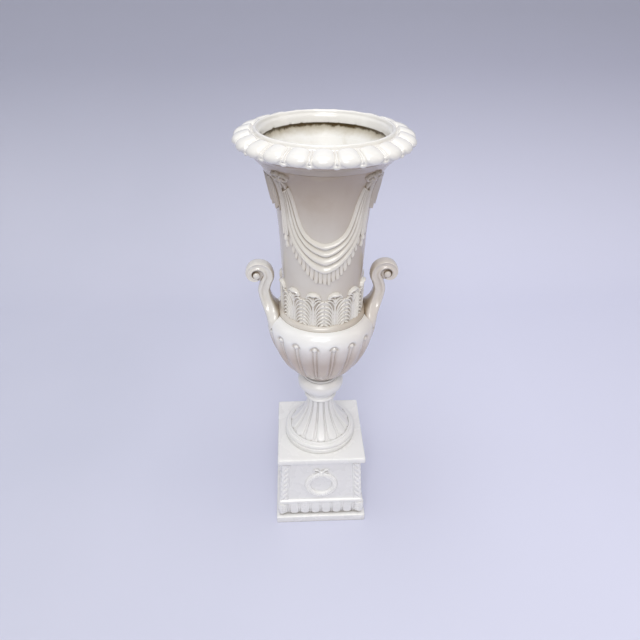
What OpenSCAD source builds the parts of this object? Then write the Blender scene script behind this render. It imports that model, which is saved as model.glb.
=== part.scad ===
// Pedestal vase: a white glazed krater urn with two scroll handles, standing on a square pedestal.
// The urn stands loose on the pedestal. A steel tie rod draws its bowl down onto its foot.
// The origin is the middle of the pedestal's underside and +Z is up.
// The handles lie along X, and the front faces -Y.

/* [Pedestal] */
// Side of the square base slab
base_w = 193; // [175:1:215]
// Thickness of the base slab
base_h = 18; // [12:1:26]
// Width of the base slab's frame round its hollow
base_frame_w = 18.5; // [14:0.5:26]
// Height of the tongue moulding over the base slab
tongue_band_h = 36; // [28:1:44]
// Half the width of the moulding's core at its foot
tongue_core_half = 87; // [80:0.5:90]
// How far a tongue stands proud of the moulding's core
tongue_proud = 4.5; // [2:0.5:7]
// Number of tongues on each face
tongue_count = 6; // [4:1:8]
// Distance from one tongue to the next
tongue_pitch = 23; // [18:0.5:24]
// Half the width of one tongue
tongue_half = 9.2; // [6:0.2:9.6]
// Height of the plain fillet over the tongues
fillet_h = 10; // [6:1:14]
// How far the fillet stands out from the foot of the dado
fillet_proud = 5.5; // [3:0.5:8]
// Height of the dado with its panels
dado_h = 102; // [80:1:130]
// Half the width of the dado's panel faces at the bottom
dado_foot_half = 85; // [78:0.5:88]
// Half the width of the dado's panel faces at the top
dado_top_half = 79; // [72:0.5:84]
// Height of the necking between the dado and the top slab
necking_h = 9.3; // [6:0.1:14]
// How far the necking stands out from the top of the dado
necking_proud = 4; // [2:0.5:7]
// Width of the square top slab
top_w = 180; // [170:1:200]
// Thickness of the top slab
top_h = 13.7; // [10:0.1:20]
// Thickness of the pedestal's cast walls
pedestal_wall = 9; // [6:0.5:12]

/* [Corner leaves] */
// Width of the leaf strip on each side of a corner
strip_w = 13.5; // [10:0.5:18]
// How far a strip stands proud of the panel
strip_proud = 3; // [1.5:0.25:5]
// Number of leaves up a strip
strip_leaves = 7; // [4:1:9]
// Depth of the cuts between the leaves
strip_cut = 1.8; // [0.5:0.1:2.4]
// Slope of the leaves in degrees
strip_slope = 38; // [20:1:50]

/* [Wreaths] */
// Radius of the wreath's ring
wreath_r = 29; // [22:0.5:34]
// Radius of the wreath's rounded leaf bundle
wreath_tube_r = 4.2; // [3:0.1:6]
// Radius of one leaf boss on the wreath
wreath_leaf_r = 5.2; // [4:0.1:7]
// Number of leaf bosses round the wreath
wreath_leaves = 18; // [12:1:24]
// How far the wreath's centre lies under the middle of the dado
wreath_drop = 8; // [0:0.5:12]
// Radius of a loop of the wreath's bow
bow_loop_r = 6.5; // [4:0.25:9]
// Radius of the ribbon in the bow's loops
bow_ribbon_r = 1.8; // [1.2:0.1:2.6]

/* [Foot] */
// Radius of the foot's base ring
foot_r = 73; // [66:0.5:80]
// Height of the upright band of the base ring
foot_band_h = 9; // [6:0.5:14]
// Radius of the rounded moulding over the band
foot_torus_r = 5.5; // [4:0.25:7]
// Radius of the small step that the petals stand on
foot_step_r = 66; // [60:0.5:70]
// Height of that step
foot_step_h = 3; // [1.5:0.25:5]
// Radius of the petals' tips
petal_tip_r = 63.5; // [56:0.5:66]
// Radius of the stem where the petals begin
stem_r = 27; // [23:0.5:32]
// Height of the petalled trumpet
trumpet_h = 79; // [65:1:95]
// Number of petals
petal_count = 14; // [10:1:16]
// Relief of the petals over the cuts between them
petal_relief = 3.2; // [1.5:0.1:4.5]
// Thickness of the foot's cast wall
foot_wall = 7; // [5:0.5:9]
// Height of the hollow inside the foot
foot_hollow_h = 66; // [50:1:72]

/* [Knop] */
// Radius of the fine ring under the collar
astragal_r = 32; // [29:0.5:35]
// Height of the fine ring
astragal_h = 7; // [4:0.5:9]
// Radius of the collar where it meets the knop
collar_r = 33; // [30:0.5:36]
// Height of the collar
collar_h = 18; // [14:0.5:24]
// Radius of the knop
knop_r = 45.5; // [40:0.5:52]
// Height of the knop
knop_h = 27; // [20:0.5:32]
// Radius of the ring over the knop
knop_ring_r = 35; // [32:0.5:40]
// Height of the ring over the knop
knop_ring_h = 4.5; // [3:0.5:8]

/* [Bowl] */
// Radius of the bowl's bottom
bowl_foot_r = 32; // [28:0.5:36]
// Greatest radius of the bowl
bowl_r = 100.7; // [90:0.5:112]
// Height from the bowl's bottom to its widest place
bowl_h = 121; // [100:1:140]
// Height of the shoulder over the widest place
shoulder_h = 27; // [20:0.5:34]
// Radius of the flat that the neck stands on
shoulder_top_r = 81.5; // [79.5:0.5:86]
// Thickness of the bowl's cast wall
bowl_wall = 13; // [10:0.5:16]
// Thickness of the bowl's floor
bowl_floor = 11; // [8:0.5:16]
// Number of gadroons round the bowl
gadroon_count = 18; // [12:1:24]
// Depth of the grooves between the gadroons
gadroon_depth = 6; // [3:0.25:8]
// How far a reed stands up in its groove
reed_h = 3.4; // [2:0.1:5]
// How far the bead on a reed's end stands up
reed_bead_h = 5.6; // [3:0.1:6]

/* [Neck] */
// Radius of the neck at its bottom
neck_r = 70.5; // [66:0.5:76]
// Height of the neck
neck_h = 284; // [250:1:320]
// How far the neck widens on the way up, without its flare
neck_swell = 14; // [8:0.5:20]
// How far the flare at the top of the neck stands out beyond that
neck_flare = 24.5; // [18:0.5:32]
// Sharpness of the flare
flare_power = 9; // [6:0.5:12]
// Thickness of the neck's cast wall
neck_wall = 7; // [5:0.5:9]
// Radius of the quarter round at the bottom of the neck
neck_bead_r = 8.5; // [6:0.25:9]
// How far the middle of that round lies outside the neck
neck_bead_out = 1.5; // [0:0.25:2.5]

/* [Rim] */
// How far the rim stands out beyond the top of the neck
rim_overhang = 32; // [26:0.5:40]
// Height of the rim
rim_h = 42; // [36:0.5:50]
// Distance of the raised ring on top of the rim inwards from the top of the neck
rim_crest_in = 3.5; // [0:0.5:8]
// Radius of that ring's rounded section
rim_crest_tube_r = 3; // [2:0.1:4]
// Distance of the mouth's edge inwards from the top of the neck
mouth_in = 12; // [9:0.5:15]
// Height of the mouth's upright lip
lip_h = 5; // [3:0.25:8]
// Number of lobes round the rim
rim_lobes = 23; // [18:1:30]
// Angle from the front to the fillet beside it, in degrees
rim_turn = 4; // [0:0.5:15]
// Depth of the cuts between the rim's lobes
rim_lobe_depth = 5.5; // [3:0.25:7]

/* [Handles] */
// Distance of the scroll's centre from the vase's axis
scroll_x = 116; // [108:0.5:124]
// Height of the scroll's centre over the foot of the neck
scroll_rise = 74; // [60:0.5:90]
// Radius of the scroll
scroll_r = 19.5; // [15:0.25:24]
// Width of the handle's strap
strap_w = 25; // [18:0.5:30]
// Width of the handle's flared root
root_w = 78; // [50:1:90]
// Radius of the scroll's button
eye_r = 6; // [4:0.25:8]

/* [Acanthus] */
// Number of large leaves round the neck
acanthus_count = 12; // [8:1:16]
// Height of the leaves
acanthus_h = 68; // [50:1:80]
// Thickness of the leaves over the neck
acanthus_relief = 3.6; // [2:0.1:5]

/* [Swags] */
// Angle from the middle of a swag to the knot that it hangs from, in degrees
knot_turn = 43; // [36:1:46]
// Distance of the knots below the top of the neck
knot_drop = 15; // [12:1:30]
// Height of the swag's upper edge over the foot of the neck, at its lowest place
swag_low_rise = 165; // [120:1:190]
// Depth of the swag's drapery at its lowest place
swag_deep = 54; // [30:1:60]
// How far the folds stand out from the neck
swag_relief = 6; // [3:0.25:8]
// How far the valleys between the folds stand out from the neck
swag_valley = 2; // [1:0.25:3]
// Depth of the pleated fringe under the swag
fringe_deep = 22; // [12:0.5:30]
// Thickness of the fringe
fringe_relief = 3; // [1.5:0.25:5]
// Number of pleats in the fringe
fringe_pleats = 15; // [9:1:21]
// Radius of a knot
knot_r = 9; // [6:0.25:12]
// Angle from the middle of a swag to a ribbon tail, in degrees
tail_turn = 52; // [46:1:56]
// Length of the ribbon tail that hangs beside a knot
tail_len = 112; // [90:1:130]
// Width of a tail at its lower end
tail_w = 13; // [8:0.5:18]
// Length of the drop under a tail's tassel
tassel_len = 15; // [10:0.5:24]
// Length of the drapery that hangs over each handle
jabot_len = 58; // [40:1:80]
// Angle from the middle of that drapery to its edge, in degrees
jabot_turn = 30; // [20:1:34]
// How much further its hem stands out from the neck than its top
jabot_stand = 4; // [0:0.5:8]

/* [Fixings] */
// Diameter of the tie rod
rod_d = 8; // [6:0.5:10]
// Diameter of the rod's holes in the clay
rod_hole_d = 11; // [9:0.5:14]
// Width of a nut across its flats
nut_af = 13; // [10:0.5:17]
// Thickness of a nut
nut_h = 6.5; // [5:0.5:9]
// Diameter of a steel washer
washer_d = 30; // [24:0.5:34]
// Thickness of a steel washer
washer_h = 1.6; // [1:0.1:2.5]
// Thickness of a rubber washer
cushion_h = 3; // [2:0.25:5]
// Length of rod that stands out past a nut
rod_spare = 5; // [2:0.5:10]
// Thickness of the packing ring between foot and bowl
packing_h = 2.5; // [1.5:0.25:4]

/* [Fits] */
// Gap that the slip between a sprigged ornament and its ground fills
lute_gap = 0.25; // [0.15:0.05:0.4]
// Running gap of the rod in its nuts and washers
rod_gap = 0.1; // [0.05:0.05:0.3]

/* [Hidden] */

$fn = 96;
// Extra length that carries every cut past the face that it opens
overrun = 1;
// Sink of one drawn form into the next where both are one casting
bond = 0.6;
glaze = "#f3efe6";
glaze_shade = "#e6e0d4";
steel = "#9aa0a6";
rubber = "#2d2b29";

front = -90;
back = 90;
left = 180;
right = 0;

// Heights of the seats, from the ground up
z_tongues = base_h;
z_fillet = z_tongues + tongue_band_h;
z_dado = z_fillet + fillet_h;
z_necking = z_dado + dado_h;
z_top_slab = z_necking + necking_h;
z_foot = z_top_slab + top_h;
z_step = z_foot + foot_band_h + 2 * foot_torus_r;
z_petals = z_step + foot_step_h;
z_astragal = z_petals + trumpet_h;
z_collar = z_astragal + astragal_h;
z_knop = z_collar + collar_h;
z_knop_ring = z_knop + knop_h;
z_packing = z_knop_ring + knop_ring_h;
z_bowl = z_packing + packing_h;
z_bowl_floor = z_bowl + bowl_floor;
z_belly = z_bowl + bowl_h;
z_neck = z_belly + shoulder_h;
z_rim = z_neck + neck_h;
z_top = z_rim + rim_h;
z_web = z_foot + foot_hollow_h;

neck_top_r = neck_r + neck_swell + neck_flare;
rim_crest_r = neck_top_r - rim_crest_in;
mouth_r = neck_top_r - mouth_in;

// A point on a circle round the vase's axis
function polar(r, turn, z) = [r * cos(turn), r * sin(turn), z];

// A value on the way from a to b, and a share kept between 0 and 1
function mix(a, b, t) = a + (b - a) * t;
function clip(t) = max(0, min(1, t));

// Rounded crest of one lobe: 1 in its middle, 0 at its edges and beyond them
function lobe_crest(t) = abs(t) < 1 ? sqrt(1 - t * t) : 0;

// Outer radius of the neck at a height
function neck_share(z) = clip((z - z_neck) / neck_h);
swell_power = 2.4;
function neck_radius(z) = neck_r + neck_swell * pow(neck_share(z), swell_power)
    + neck_flare * pow(neck_share(z), flare_power);

// Outer radius of the bowl at a height, over the crests of the gadroons
belly_power = 1.5;
function belly_share(z) = clip((z_belly - z) / bowl_h);
function bowl_radius(z) = z < z_belly
    ? bowl_foot_r + (bowl_r - bowl_foot_r) * pow(1 - pow(belly_share(z), belly_power), 1 / belly_power)
    : shoulder_top_r + (bowl_r - shoulder_top_r) * sqrt(1 - pow(clip((z - z_belly) / shoulder_h), 2));

// Solid between rings of points that run anticlockwise seen from above, each with as many points.
// The ends are flat faces, or rows of triangles where the rings themselves aren't flat
module skin(rings, flat_ends = true) {
    n = len(rings[0]);
    last = len(rings) - 1;
    walls = [for (j = [0 : last - 1]) for (i = [0 : n - 1]) for (half = [0, 1])
        half == 0 ? [j * n + i, (j + 1) * n + (i + 1) % n, j * n + (i + 1) % n]
                  : [j * n + i, (j + 1) * n + i, (j + 1) * n + (i + 1) % n]];
    floor_faces = flat_ends ? [[for (i = [0 : n - 1]) i]]
        : [for (i = [0 : n / 2 - 2]) for (half = [0, 1])
            half == 0 ? [i, i + 1, n - 1 - i] : [i + 1, n - 2 - i, n - 1 - i]];
    roof_faces = [for (f = floor_faces) [for (i = [len(f) - 1 : -1 : 0]) last * n + f[i]]];
    polyhedron(points = [for (r = rings) for (p = r) p], faces = concat(walls, floor_faces, roof_faces),
        convexity = 10);
}

// Square frustum with one half width at the bottom and another at the top
module frustum(foot_half, top_half, h) {
    linear_extrude(height = h, scale = top_half / foot_half) square(2 * foot_half, center = true);
}

/* Pedestal pieces */

module plinth_base_slab() {
    hollow = base_w - 2 * base_frame_w;
    color(glaze) difference() {
        translate([0, 0, base_h / 2]) cube([base_w, base_w, base_h], center = true);
        translate([0, 0, base_h / 2]) cube([hollow, hollow, base_h + 2 * overrun], center = true);
    }
}

// One upright tongue with a round lower end
module tongue() {
    sink = tongue_half - tongue_proud;
    tip = z_tongues + tongue_half + (base_w / 2 - tongue_core_half) / 4;
    translate([0, sink, tip]) {
        cylinder(r = tongue_half, h = z_fillet + bond - tip, $fn = 32);
        sphere(r = tongue_half, $fn = 32);
    }
}

module plinth_tongue_moulding() {
    hollow = 2 * (tongue_core_half - pedestal_wall);
    fillet_half = dado_foot_half + fillet_proud;
    start = -(tongue_count - 1) / 2 * tongue_pitch;
    color(glaze) difference() {
        union() {
            translate([0, 0, z_tongues + tongue_band_h / 2])
                cube([2 * tongue_core_half, 2 * tongue_core_half, tongue_band_h], center = true);
            translate([0, 0, z_fillet + fillet_h / 2])
                cube([2 * fillet_half, 2 * fillet_half, fillet_h], center = true);
            for (side = [0 : 3]) rotate(90 * side) {
                for (i = [0 : tongue_count - 1])
                    translate([start + i * tongue_pitch, -tongue_core_half, 0]) tongue();
                rotate(45) translate([0, -tongue_core_half * sqrt(2) + tongue_half / 2, 0]) tongue();
            }
        }
        translate([0, 0, z_tongues + (tongue_band_h + fillet_h) / 2])
            cube([hollow, hollow, tongue_band_h + fillet_h + 2 * overrun], center = true);
    }
}

module plinth_dado() {
    necking_half = dado_top_half + necking_proud;
    color(glaze) difference() {
        union() {
            translate([0, 0, z_dado]) frustum(dado_foot_half, dado_top_half, dado_h);
            translate([0, 0, z_necking + necking_h / 2])
                cube([2 * necking_half, 2 * necking_half, necking_h], center = true);
        }
        translate([0, 0, z_dado - overrun])
            frustum(dado_foot_half - pedestal_wall, dado_top_half - pedestal_wall,
                dado_h + necking_h + 2 * overrun);
    }
}

module plinth_top_slab() {
    color(glaze) translate([0, 0, z_top_slab + top_h / 2]) cube([top_w, top_w, top_h], center = true);
}

// Distance from the pedestal's middle to the inner edge of a corner's leaf strip
strip_in = dado_top_half + strip_proud - strip_w;

// Slanting cuts that part the leaves of one strip, on the face towards -Y
module leaf_cuts() {
    for (i = [0 : strip_leaves]) {
        rise = i * dado_h / strip_leaves;
        face = mix(dado_foot_half, dado_top_half, rise / dado_h) + strip_proud;
        translate([strip_in + strip_w / 2, -face, z_dado + rise])
            rotate([0, strip_slope, 0]) rotate([45, 0, 0])
                cube([3 * strip_w, strip_cut, strip_cut], center = true);
    }
}

// Leaf strips that fold round one corner of the dado, at the corner towards +X and -Y
module corner_leaves() {
    difference() {
        intersection() {
            translate([0, 0, z_dado])
                frustum(dado_foot_half + strip_proud, dado_top_half + strip_proud, dado_h);
            translate([strip_in, -strip_in - base_w, z_dado]) cube([base_w, base_w, dado_h]);
        }
        translate([0, 0, z_dado]) frustum(dado_foot_half, dado_top_half, dado_h);
        leaf_cuts();
        rotate(90) mirror([1, 0, 0]) leaf_cuts();
    }
}

module corner_leaves_front_right() { color(glaze_shade) corner_leaves(); }
module corner_leaves_back_right() { color(glaze_shade) rotate(90) corner_leaves(); }
module corner_leaves_back_left() { color(glaze_shade) rotate(180) corner_leaves(); }
module corner_leaves_front_left() { color(glaze_shade) rotate(270) corner_leaves(); }

// Lays a drawing made on the ground flat against the panel towards -Y, at a height over the dado's foot
module on_panel(rise) {
    batter = atan((dado_foot_half - dado_top_half) / dado_h);
    face = dado_foot_half - rise * (dado_foot_half - dado_top_half) / dado_h;
    translate([0, -face, z_dado + rise]) rotate([90 - batter, 0, 0]) translate([0, 0, lute_gap]) children();
}

// Height of the wreath's centre over the foot of the dado
wreath_rise = dado_h / 2 - wreath_drop;
// Ring of leaf bosses, flat behind
module wreath() {
    bounds = wreath_r + 2 * wreath_leaf_r;
    on_panel(wreath_rise) difference() {
        union() {
            rotate_extrude() translate([wreath_r, 0]) circle(r = wreath_tube_r, $fn = 32);
            for (i = [0 : wreath_leaves - 1]) rotate(360 / wreath_leaves * (i + 0.5))
                translate([wreath_r, 0, 0]) sphere(r = wreath_leaf_r, $fn = 32);
        }
        translate([0, 0, -bounds / 2]) cube([2 * bounds, 2 * bounds, bounds], center = true);
    }
}

// Distance of a loop's middle from the bow's knot, as a share of the loop's radius
loop_out_share = 1.15;
// Two loops and a knot of ribbon over a wreath
module wreath_bow() {
    rise = wreath_rise + wreath_r + wreath_leaf_r + lute_gap + bow_loop_r;
    bounds = 4 * bow_loop_r;
    on_panel(rise) difference() {
        union() {
            for (side = [-1, 1]) translate([side * loop_out_share * bow_loop_r, 0, 0])
                rotate_extrude() translate([bow_loop_r - bow_ribbon_r, 0]) circle(r = bow_ribbon_r, $fn = 24);
            sphere(r = 2 * bow_ribbon_r, $fn = 32);
        }
        translate([0, 0, -bounds / 2]) cube([2 * bounds, 2 * bounds, bounds], center = true);
    }
}

module wreath_front() { color(glaze_shade) wreath(); }
module wreath_right() { color(glaze_shade) rotate(90) wreath(); }
module wreath_back() { color(glaze_shade) rotate(180) wreath(); }
module wreath_left() { color(glaze_shade) rotate(270) wreath(); }
module wreath_bow_front() { color(glaze_shade) wreath_bow(); }
module wreath_bow_right() { color(glaze_shade) rotate(90) wreath_bow(); }
module wreath_bow_back() { color(glaze_shade) rotate(180) wreath_bow(); }
module wreath_bow_left() { color(glaze_shade) rotate(270) wreath_bow(); }

/* Urn castings */

// Outer radius of the trumpet, over the petals, at a share of its height
trumpet_power = 2.2;
function trumpet_radius(t) = stem_r + (petal_tip_r - stem_r) * pow(1 - t, trumpet_power);

// Places across one petal, in half pitches from its middle, and the form of the clay at each:
// a rounded petal, a cut beside it and a low dart between two cuts
petal_places_share = [-0.8, -0.62, -0.32, 0, 0.32, 0.62, 0.8, 1];
petal_edge_share = 0.82;
dart_rise_share = 0.45;
function petal_form(x) = abs(x) < petal_edge_share ? lobe_crest(x / petal_edge_share)
    : dart_rise_share * (abs(x) - petal_edge_share) / (1 - petal_edge_share);

// Share of the trumpet's height, less the whole, over which the petals fade out
petal_fade_share = 1.2;
// Ring of the trumpet at a share of its height
function petal_ring(t) = let (
        step = 360 / petal_count,
        r = trumpet_radius(t),
        relief = petal_relief * min(1, petal_fade_share - t) * pow(r / petal_tip_r, 0.5))
    [for (i = [0 : petal_count - 1]) for (x = petal_places_share)
        polar(r - relief * (1 - petal_form(x)), front + step * (i + x / 2), z_petals + t * trumpet_h)];

// Radius of the petals' tips at the step that they stand on, as a share of their greatest
tip_foot_share = 0.97;
// Ring at the petals' tips, drawn in at the darts so that each tip is round
function petal_tip_ring(share, z) = let (step = 360 / petal_count)
    [for (i = [0 : petal_count - 1]) for (x = petal_places_share)
        polar(share * petal_tip_r - 2 * petal_relief * (1 - petal_form(x)), front + step * (i + x / 2), z)];

// Shares of the trumpet's height at which it has rings of points, and its hollow has corners
trumpet_shares = [0.12, 0.25, 0.4, 0.58, 0.8];
foot_hollow_shares = [0, 0.12, 0.28];

module foot() {
    knop_tube_r = knop_h / 2;
    astragal_tube_r = astragal_h / 2;
    wall = foot_wall + petal_relief;
    web_share = (z_web - z_petals) / trumpet_h;
    color(glaze) difference() {
        union() {
            rotate_extrude() {
                translate([0, z_foot]) square([foot_r, foot_band_h]);
                translate([0, z_foot + foot_band_h]) square([foot_r - foot_torus_r, 2 * foot_torus_r]);
                translate([foot_r - foot_torus_r, z_step - foot_torus_r]) circle(r = foot_torus_r, $fn = 32);
                translate([0, z_step]) square([foot_step_r, foot_step_h]);
            }
            skin(concat(
                [petal_tip_ring(tip_foot_share, z_petals - bond), petal_tip_ring(1, z_petals + petal_relief)],
                [for (t = trumpet_shares) petal_ring(t)],
                [[for (i = [0 : petal_count - 1]) for (x = petal_places_share)
                    polar(stem_r, front + 360 / petal_count * (i + x / 2), z_astragal + bond)]]));
            rotate_extrude() {
                translate([0, z_astragal]) square([astragal_r - astragal_tube_r, astragal_h]);
                translate([astragal_r - astragal_tube_r, z_astragal + astragal_tube_r])
                    circle(r = astragal_tube_r, $fn = 32);
                translate([0, z_collar]) polygon([[0, 0], [astragal_r - astragal_tube_r, 0],
                    [collar_r, collar_h + bond], [0, collar_h + bond]]);
                translate([0, z_knop]) square([knop_r - knop_tube_r, knop_h]);
                translate([knop_r - knop_tube_r, z_knop + knop_tube_r]) circle(r = knop_tube_r, $fn = 48);
                translate([0, z_knop_ring]) square([knop_ring_r - knop_ring_h / 2, knop_ring_h]);
                translate([knop_ring_r - knop_ring_h / 2, z_knop_ring + knop_ring_h / 2])
                    circle(r = knop_ring_h / 2, $fn = 32);
            }
        }
        rotate_extrude() polygon(concat(
            [[0, z_foot - overrun], [foot_r - 2 * foot_wall, z_foot - overrun],
             [foot_r - 2 * foot_wall, z_foot + foot_band_h]],
            [for (t = foot_hollow_shares) [trumpet_radius(t) - wall, z_petals + t * trumpet_h]],
            [[trumpet_radius(web_share) - wall, z_web], [0, z_web]]));
        cylinder(d = rod_hole_d, h = z_top, $fn = 48);
    }
}

// Places across one gadroon, in half pitches from its middle: a rounded lobe, a groove, a reed
gadroon_places_share = [-0.9, -0.76, -0.6, -0.32, 0, 0.32, 0.6, 0.76, 0.9];
gadroon_edge_share = 0.78;
function gadroon_form(x) = abs(x) < gadroon_edge_share ? lobe_crest(x / gadroon_edge_share) : 0;
function reed_form(x) = abs(x) < gadroon_edge_share ? 0 : 1;

// Rows up the bowl: share of the way from its bottom to its widest place, then the depth of the
// grooves, the height of the reeds and the height of their beads as shares of the full ones
gadroon_rows_share = [
    [0, 0.75, 0.7, 0], [0.12, 0.8, 0.8, 0], [0.28, 0.85, 1, 0], [0.48, 0.95, 1, 0], [0.7, 1, 1, 0],
    [0.88, 1, 1, 0], [0.965, 1, 1, 0.3], [1, 1, 0, 1], [1.03, 0.95, 0, 0.2], [1.075, 0.6, 0, 0],
    [1.13, 0, 0, 0]
];
function gadroon_ring(row) = let (
        step = 360 / gadroon_count,
        z = z_bowl + row[0] * bowl_h,
        r = bowl_radius(z),
        narrowing = pow(r / bowl_r, 0.6),
        reed = reed_h * row[2] + reed_bead_h * row[3])
    [for (i = [0 : gadroon_count - 1]) for (x = gadroon_places_share)
        polar(r - narrowing * (gadroon_depth * row[1] * (1 - gadroon_form(x)) - reed * reed_form(x)),
            front + step * (i + x / 2), z)];

// Shares of the shoulder's height at which its outline has points
shoulder_shares = [0.6, 0.72, 0.82, 0.9, 0.96, 1];

// Shares of the hollow's height at which its outline has points
bowl_hollow_shares = [0, 0.12, 0.3, 0.5, 0.75, 1];

module bowl() {
    plain_z = z_bowl + gadroon_rows_share[len(gadroon_rows_share) - 1][0] * bowl_h;
    color(glaze) difference() {
        union() {
            skin([for (row = gadroon_rows_share) gadroon_ring(row)]);
            rotate_extrude() polygon(concat(
                [[0, plain_z - bond], [bowl_radius(plain_z), plain_z - bond]],
                [for (t = shoulder_shares) if (z_belly + t * shoulder_h > plain_z)
                    [bowl_radius(z_belly + t * shoulder_h), z_belly + t * shoulder_h]],
                [[0, z_neck]]));
        }
        rotate_extrude() polygon(concat(
            [[0, z_bowl_floor]],
            [for (t = bowl_hollow_shares) let (z = mix(z_bowl_floor, z_belly, t))
                [bowl_radius(z) - bowl_wall, z]],
            [[neck_r - neck_wall, z_neck - bowl_wall / 2], [neck_r - neck_wall, z_neck + overrun],
             [0, z_neck + overrun]]));
        translate([0, 0, z_bowl - overrun]) cylinder(d = rod_hole_d, h = bowl_floor + 2 * overrun, $fn = 48);
    }
}

// Shares of the neck's height at which its outline has points
neck_shares = [0, 0.25, 0.4, 0.5, 0.58, 0.65, 0.71, 0.77, 0.82, 0.86, 0.9, 0.93, 0.96, 0.98, 1];

module neck() {
    color(glaze) rotate_extrude() {
        polygon(concat(
            [for (t = neck_shares) let (z = z_neck + t * neck_h) [neck_radius(z), z]],
            [for (i = [len(neck_shares) - 1 : -1 : 0]) let (z = z_neck + neck_shares[i] * neck_h)
                [neck_radius(z) - neck_wall, z]]));
        intersection() {
            translate([neck_r + neck_bead_out, z_neck]) circle(r = neck_bead_r, $fn = 48);
            translate([neck_r - neck_wall / 2, z_neck]) square([2 * neck_bead_r, neck_bead_r]);
        }
    }
}

// Places across one lobe of the rim, in half pitches from its middle
rim_places_share = [-0.84, -0.66, -0.36, 0, 0.36, 0.66, 0.84, 1];
rim_edge_share = 0.86;
fillet_rise_share = 0.4;
function rim_form(x) = abs(x) < rim_edge_share ? lobe_crest(x / rim_edge_share)
    : fillet_rise_share * (abs(x) - rim_edge_share) / (1 - rim_edge_share);

// Outline of the rim over the lobes' crests: share of the way out from the neck's top to the greatest
// radius, share of the rim's height, and the lobes' depth there as a share of the full depth
rim_rows_share = [
    [0.03, 0, 0], [0.2, 0.15, 0], [0.5, 0.35, 0], [0.8, 0.44, 0.3], [0.93, 0.475, 1], [0.995, 0.545, 1],
    [0.92, 0.645, 1], [0.7, 0.755, 1], [0.36, 0.855, 0.8], [0.06, 0.9, 0]
];
// Middle of the rim's section, from which the lobes swell
rim_core_share = [0.4, 0.55];
// Height of the mouth's lip as a share of the rim's height
lip_rise_share = 0.52;
// Corners of the hollow under the lip and of the slope over it, as shares of the way out and up
throat_shares = [0.6, 0.5];
throat_rise_shares = [0.5, 0.85];
slope_share = 0.2;
slope_rise_share = 0.3;
function rim_ring(row) = let (
        step = 360 / rim_lobes,
        place = [row[0] * rim_overhang, row[1] * rim_h],
        core = [rim_core_share[0] * rim_overhang, rim_core_share[1] * rim_h],
        way = (place - core) / norm(place - core))
    [for (i = [0 : rim_lobes - 1]) for (x = rim_places_share)
        let (cut = rim_lobe_depth * row[2] * (1 - rim_form(x)))
        polar(neck_top_r + place[0] - way[0] * cut, front + rim_turn + step * (i + 0.5 + x / 2),
            z_rim + place[1] - way[1] * cut)];

module rim_collar() {
    cap_z = z_rim + rim_rows_share[len(rim_rows_share) - 1][1] * rim_h;
    lip_z = z_rim + lip_rise_share * rim_h;
    color(glaze) difference() {
        union() {
            skin([for (row = rim_rows_share) rim_ring(row)]);
            rotate_extrude() {
                translate([0, cap_z - bond]) square([neck_top_r, 2 * bond]);
                translate([0, cap_z]) square([rim_crest_r, z_top - rim_crest_tube_r - cap_z]);
                translate([rim_crest_r, z_top - rim_crest_tube_r]) circle(r = rim_crest_tube_r, $fn = 32);
            }
        }
        rotate_extrude() polygon([
            [0, z_rim - overrun], [neck_top_r - neck_wall, z_rim - overrun], [neck_top_r - neck_wall, z_rim],
            [mix(mouth_r, neck_top_r, throat_shares[0]), mix(z_rim, lip_z, throat_rise_shares[0])],
            [mix(mouth_r, neck_top_r, throat_shares[1]), mix(z_rim, lip_z, throat_rise_shares[1])],
            [mouth_r, lip_z], [mouth_r, lip_z + lip_h],
            [mix(mouth_r, rim_crest_r, slope_share), mix(lip_z + lip_h, z_top, slope_rise_share)],
            [rim_crest_r - rim_crest_tube_r, z_top - rim_crest_tube_r],
            [rim_crest_r - rim_crest_tube_r, z_top + overrun], [0, z_top + overrun]]);
    }
}

/* Handles */

// Shares of the bowl's and the shoulder's heights at which the outline below has points
belly_steps_share = [0.2, 0.5, 0.8, 0.9];
shoulder_steps_share = [0, 0.2, 0.4, 0.6, 0.72, 0.82, 0.9, 0.96];

// Outline of the bowl, the neck's foot and the neck, that a luted piece is fitted to
module body_envelope() {
    rotate_extrude() {
        polygon(concat(
            [[0, z_bowl]],
            [for (t = belly_steps_share) let (z = mix(z_bowl, z_belly, t)) [bowl_radius(z) + lute_gap, z]],
            [for (t = shoulder_steps_share) let (z = mix(z_belly, z_neck, t)) [bowl_radius(z) + lute_gap, z]],
            [[shoulder_top_r, z_neck + lute_gap], [0, z_neck + lute_gap]]));
        intersection() {
            translate([neck_r + neck_bead_out, z_neck]) circle(r = neck_bead_r + lute_gap, $fn = 48);
            translate([0, z_neck]) square([neck_r + 2 * neck_bead_r, 2 * neck_bead_r]);
        }
        neck_envelope_outline();
    }
}
module neck_envelope_outline() {
    polygon(concat(
        [[0, z_neck]],
        [for (t = neck_shares) let (z = z_neck + t * neck_h) [neck_radius(z) + lute_gap, z]],
        [[0, z_rim]]));
}

module neck_envelope() { rotate_extrude() neck_envelope_outline(); }

// Stem of the handle from the shoulder up to the scroll: share of the scroll's distance out, share of
// its rise, half the thickness as a share of the scroll's radius, and the share of the root's flare
stem_rows_share = [
    [0.74, -0.26, 0.72, 1], [0.76, -0.06, 0.69, 0.9], [0.802, 0.1, 0.64, 0.52], [0.848, 0.28, 0.59, 0.2],
    [0.88, 0.46, 0.56, 0.05], [0.889, 0.62, 0.545, 0]
];
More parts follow.
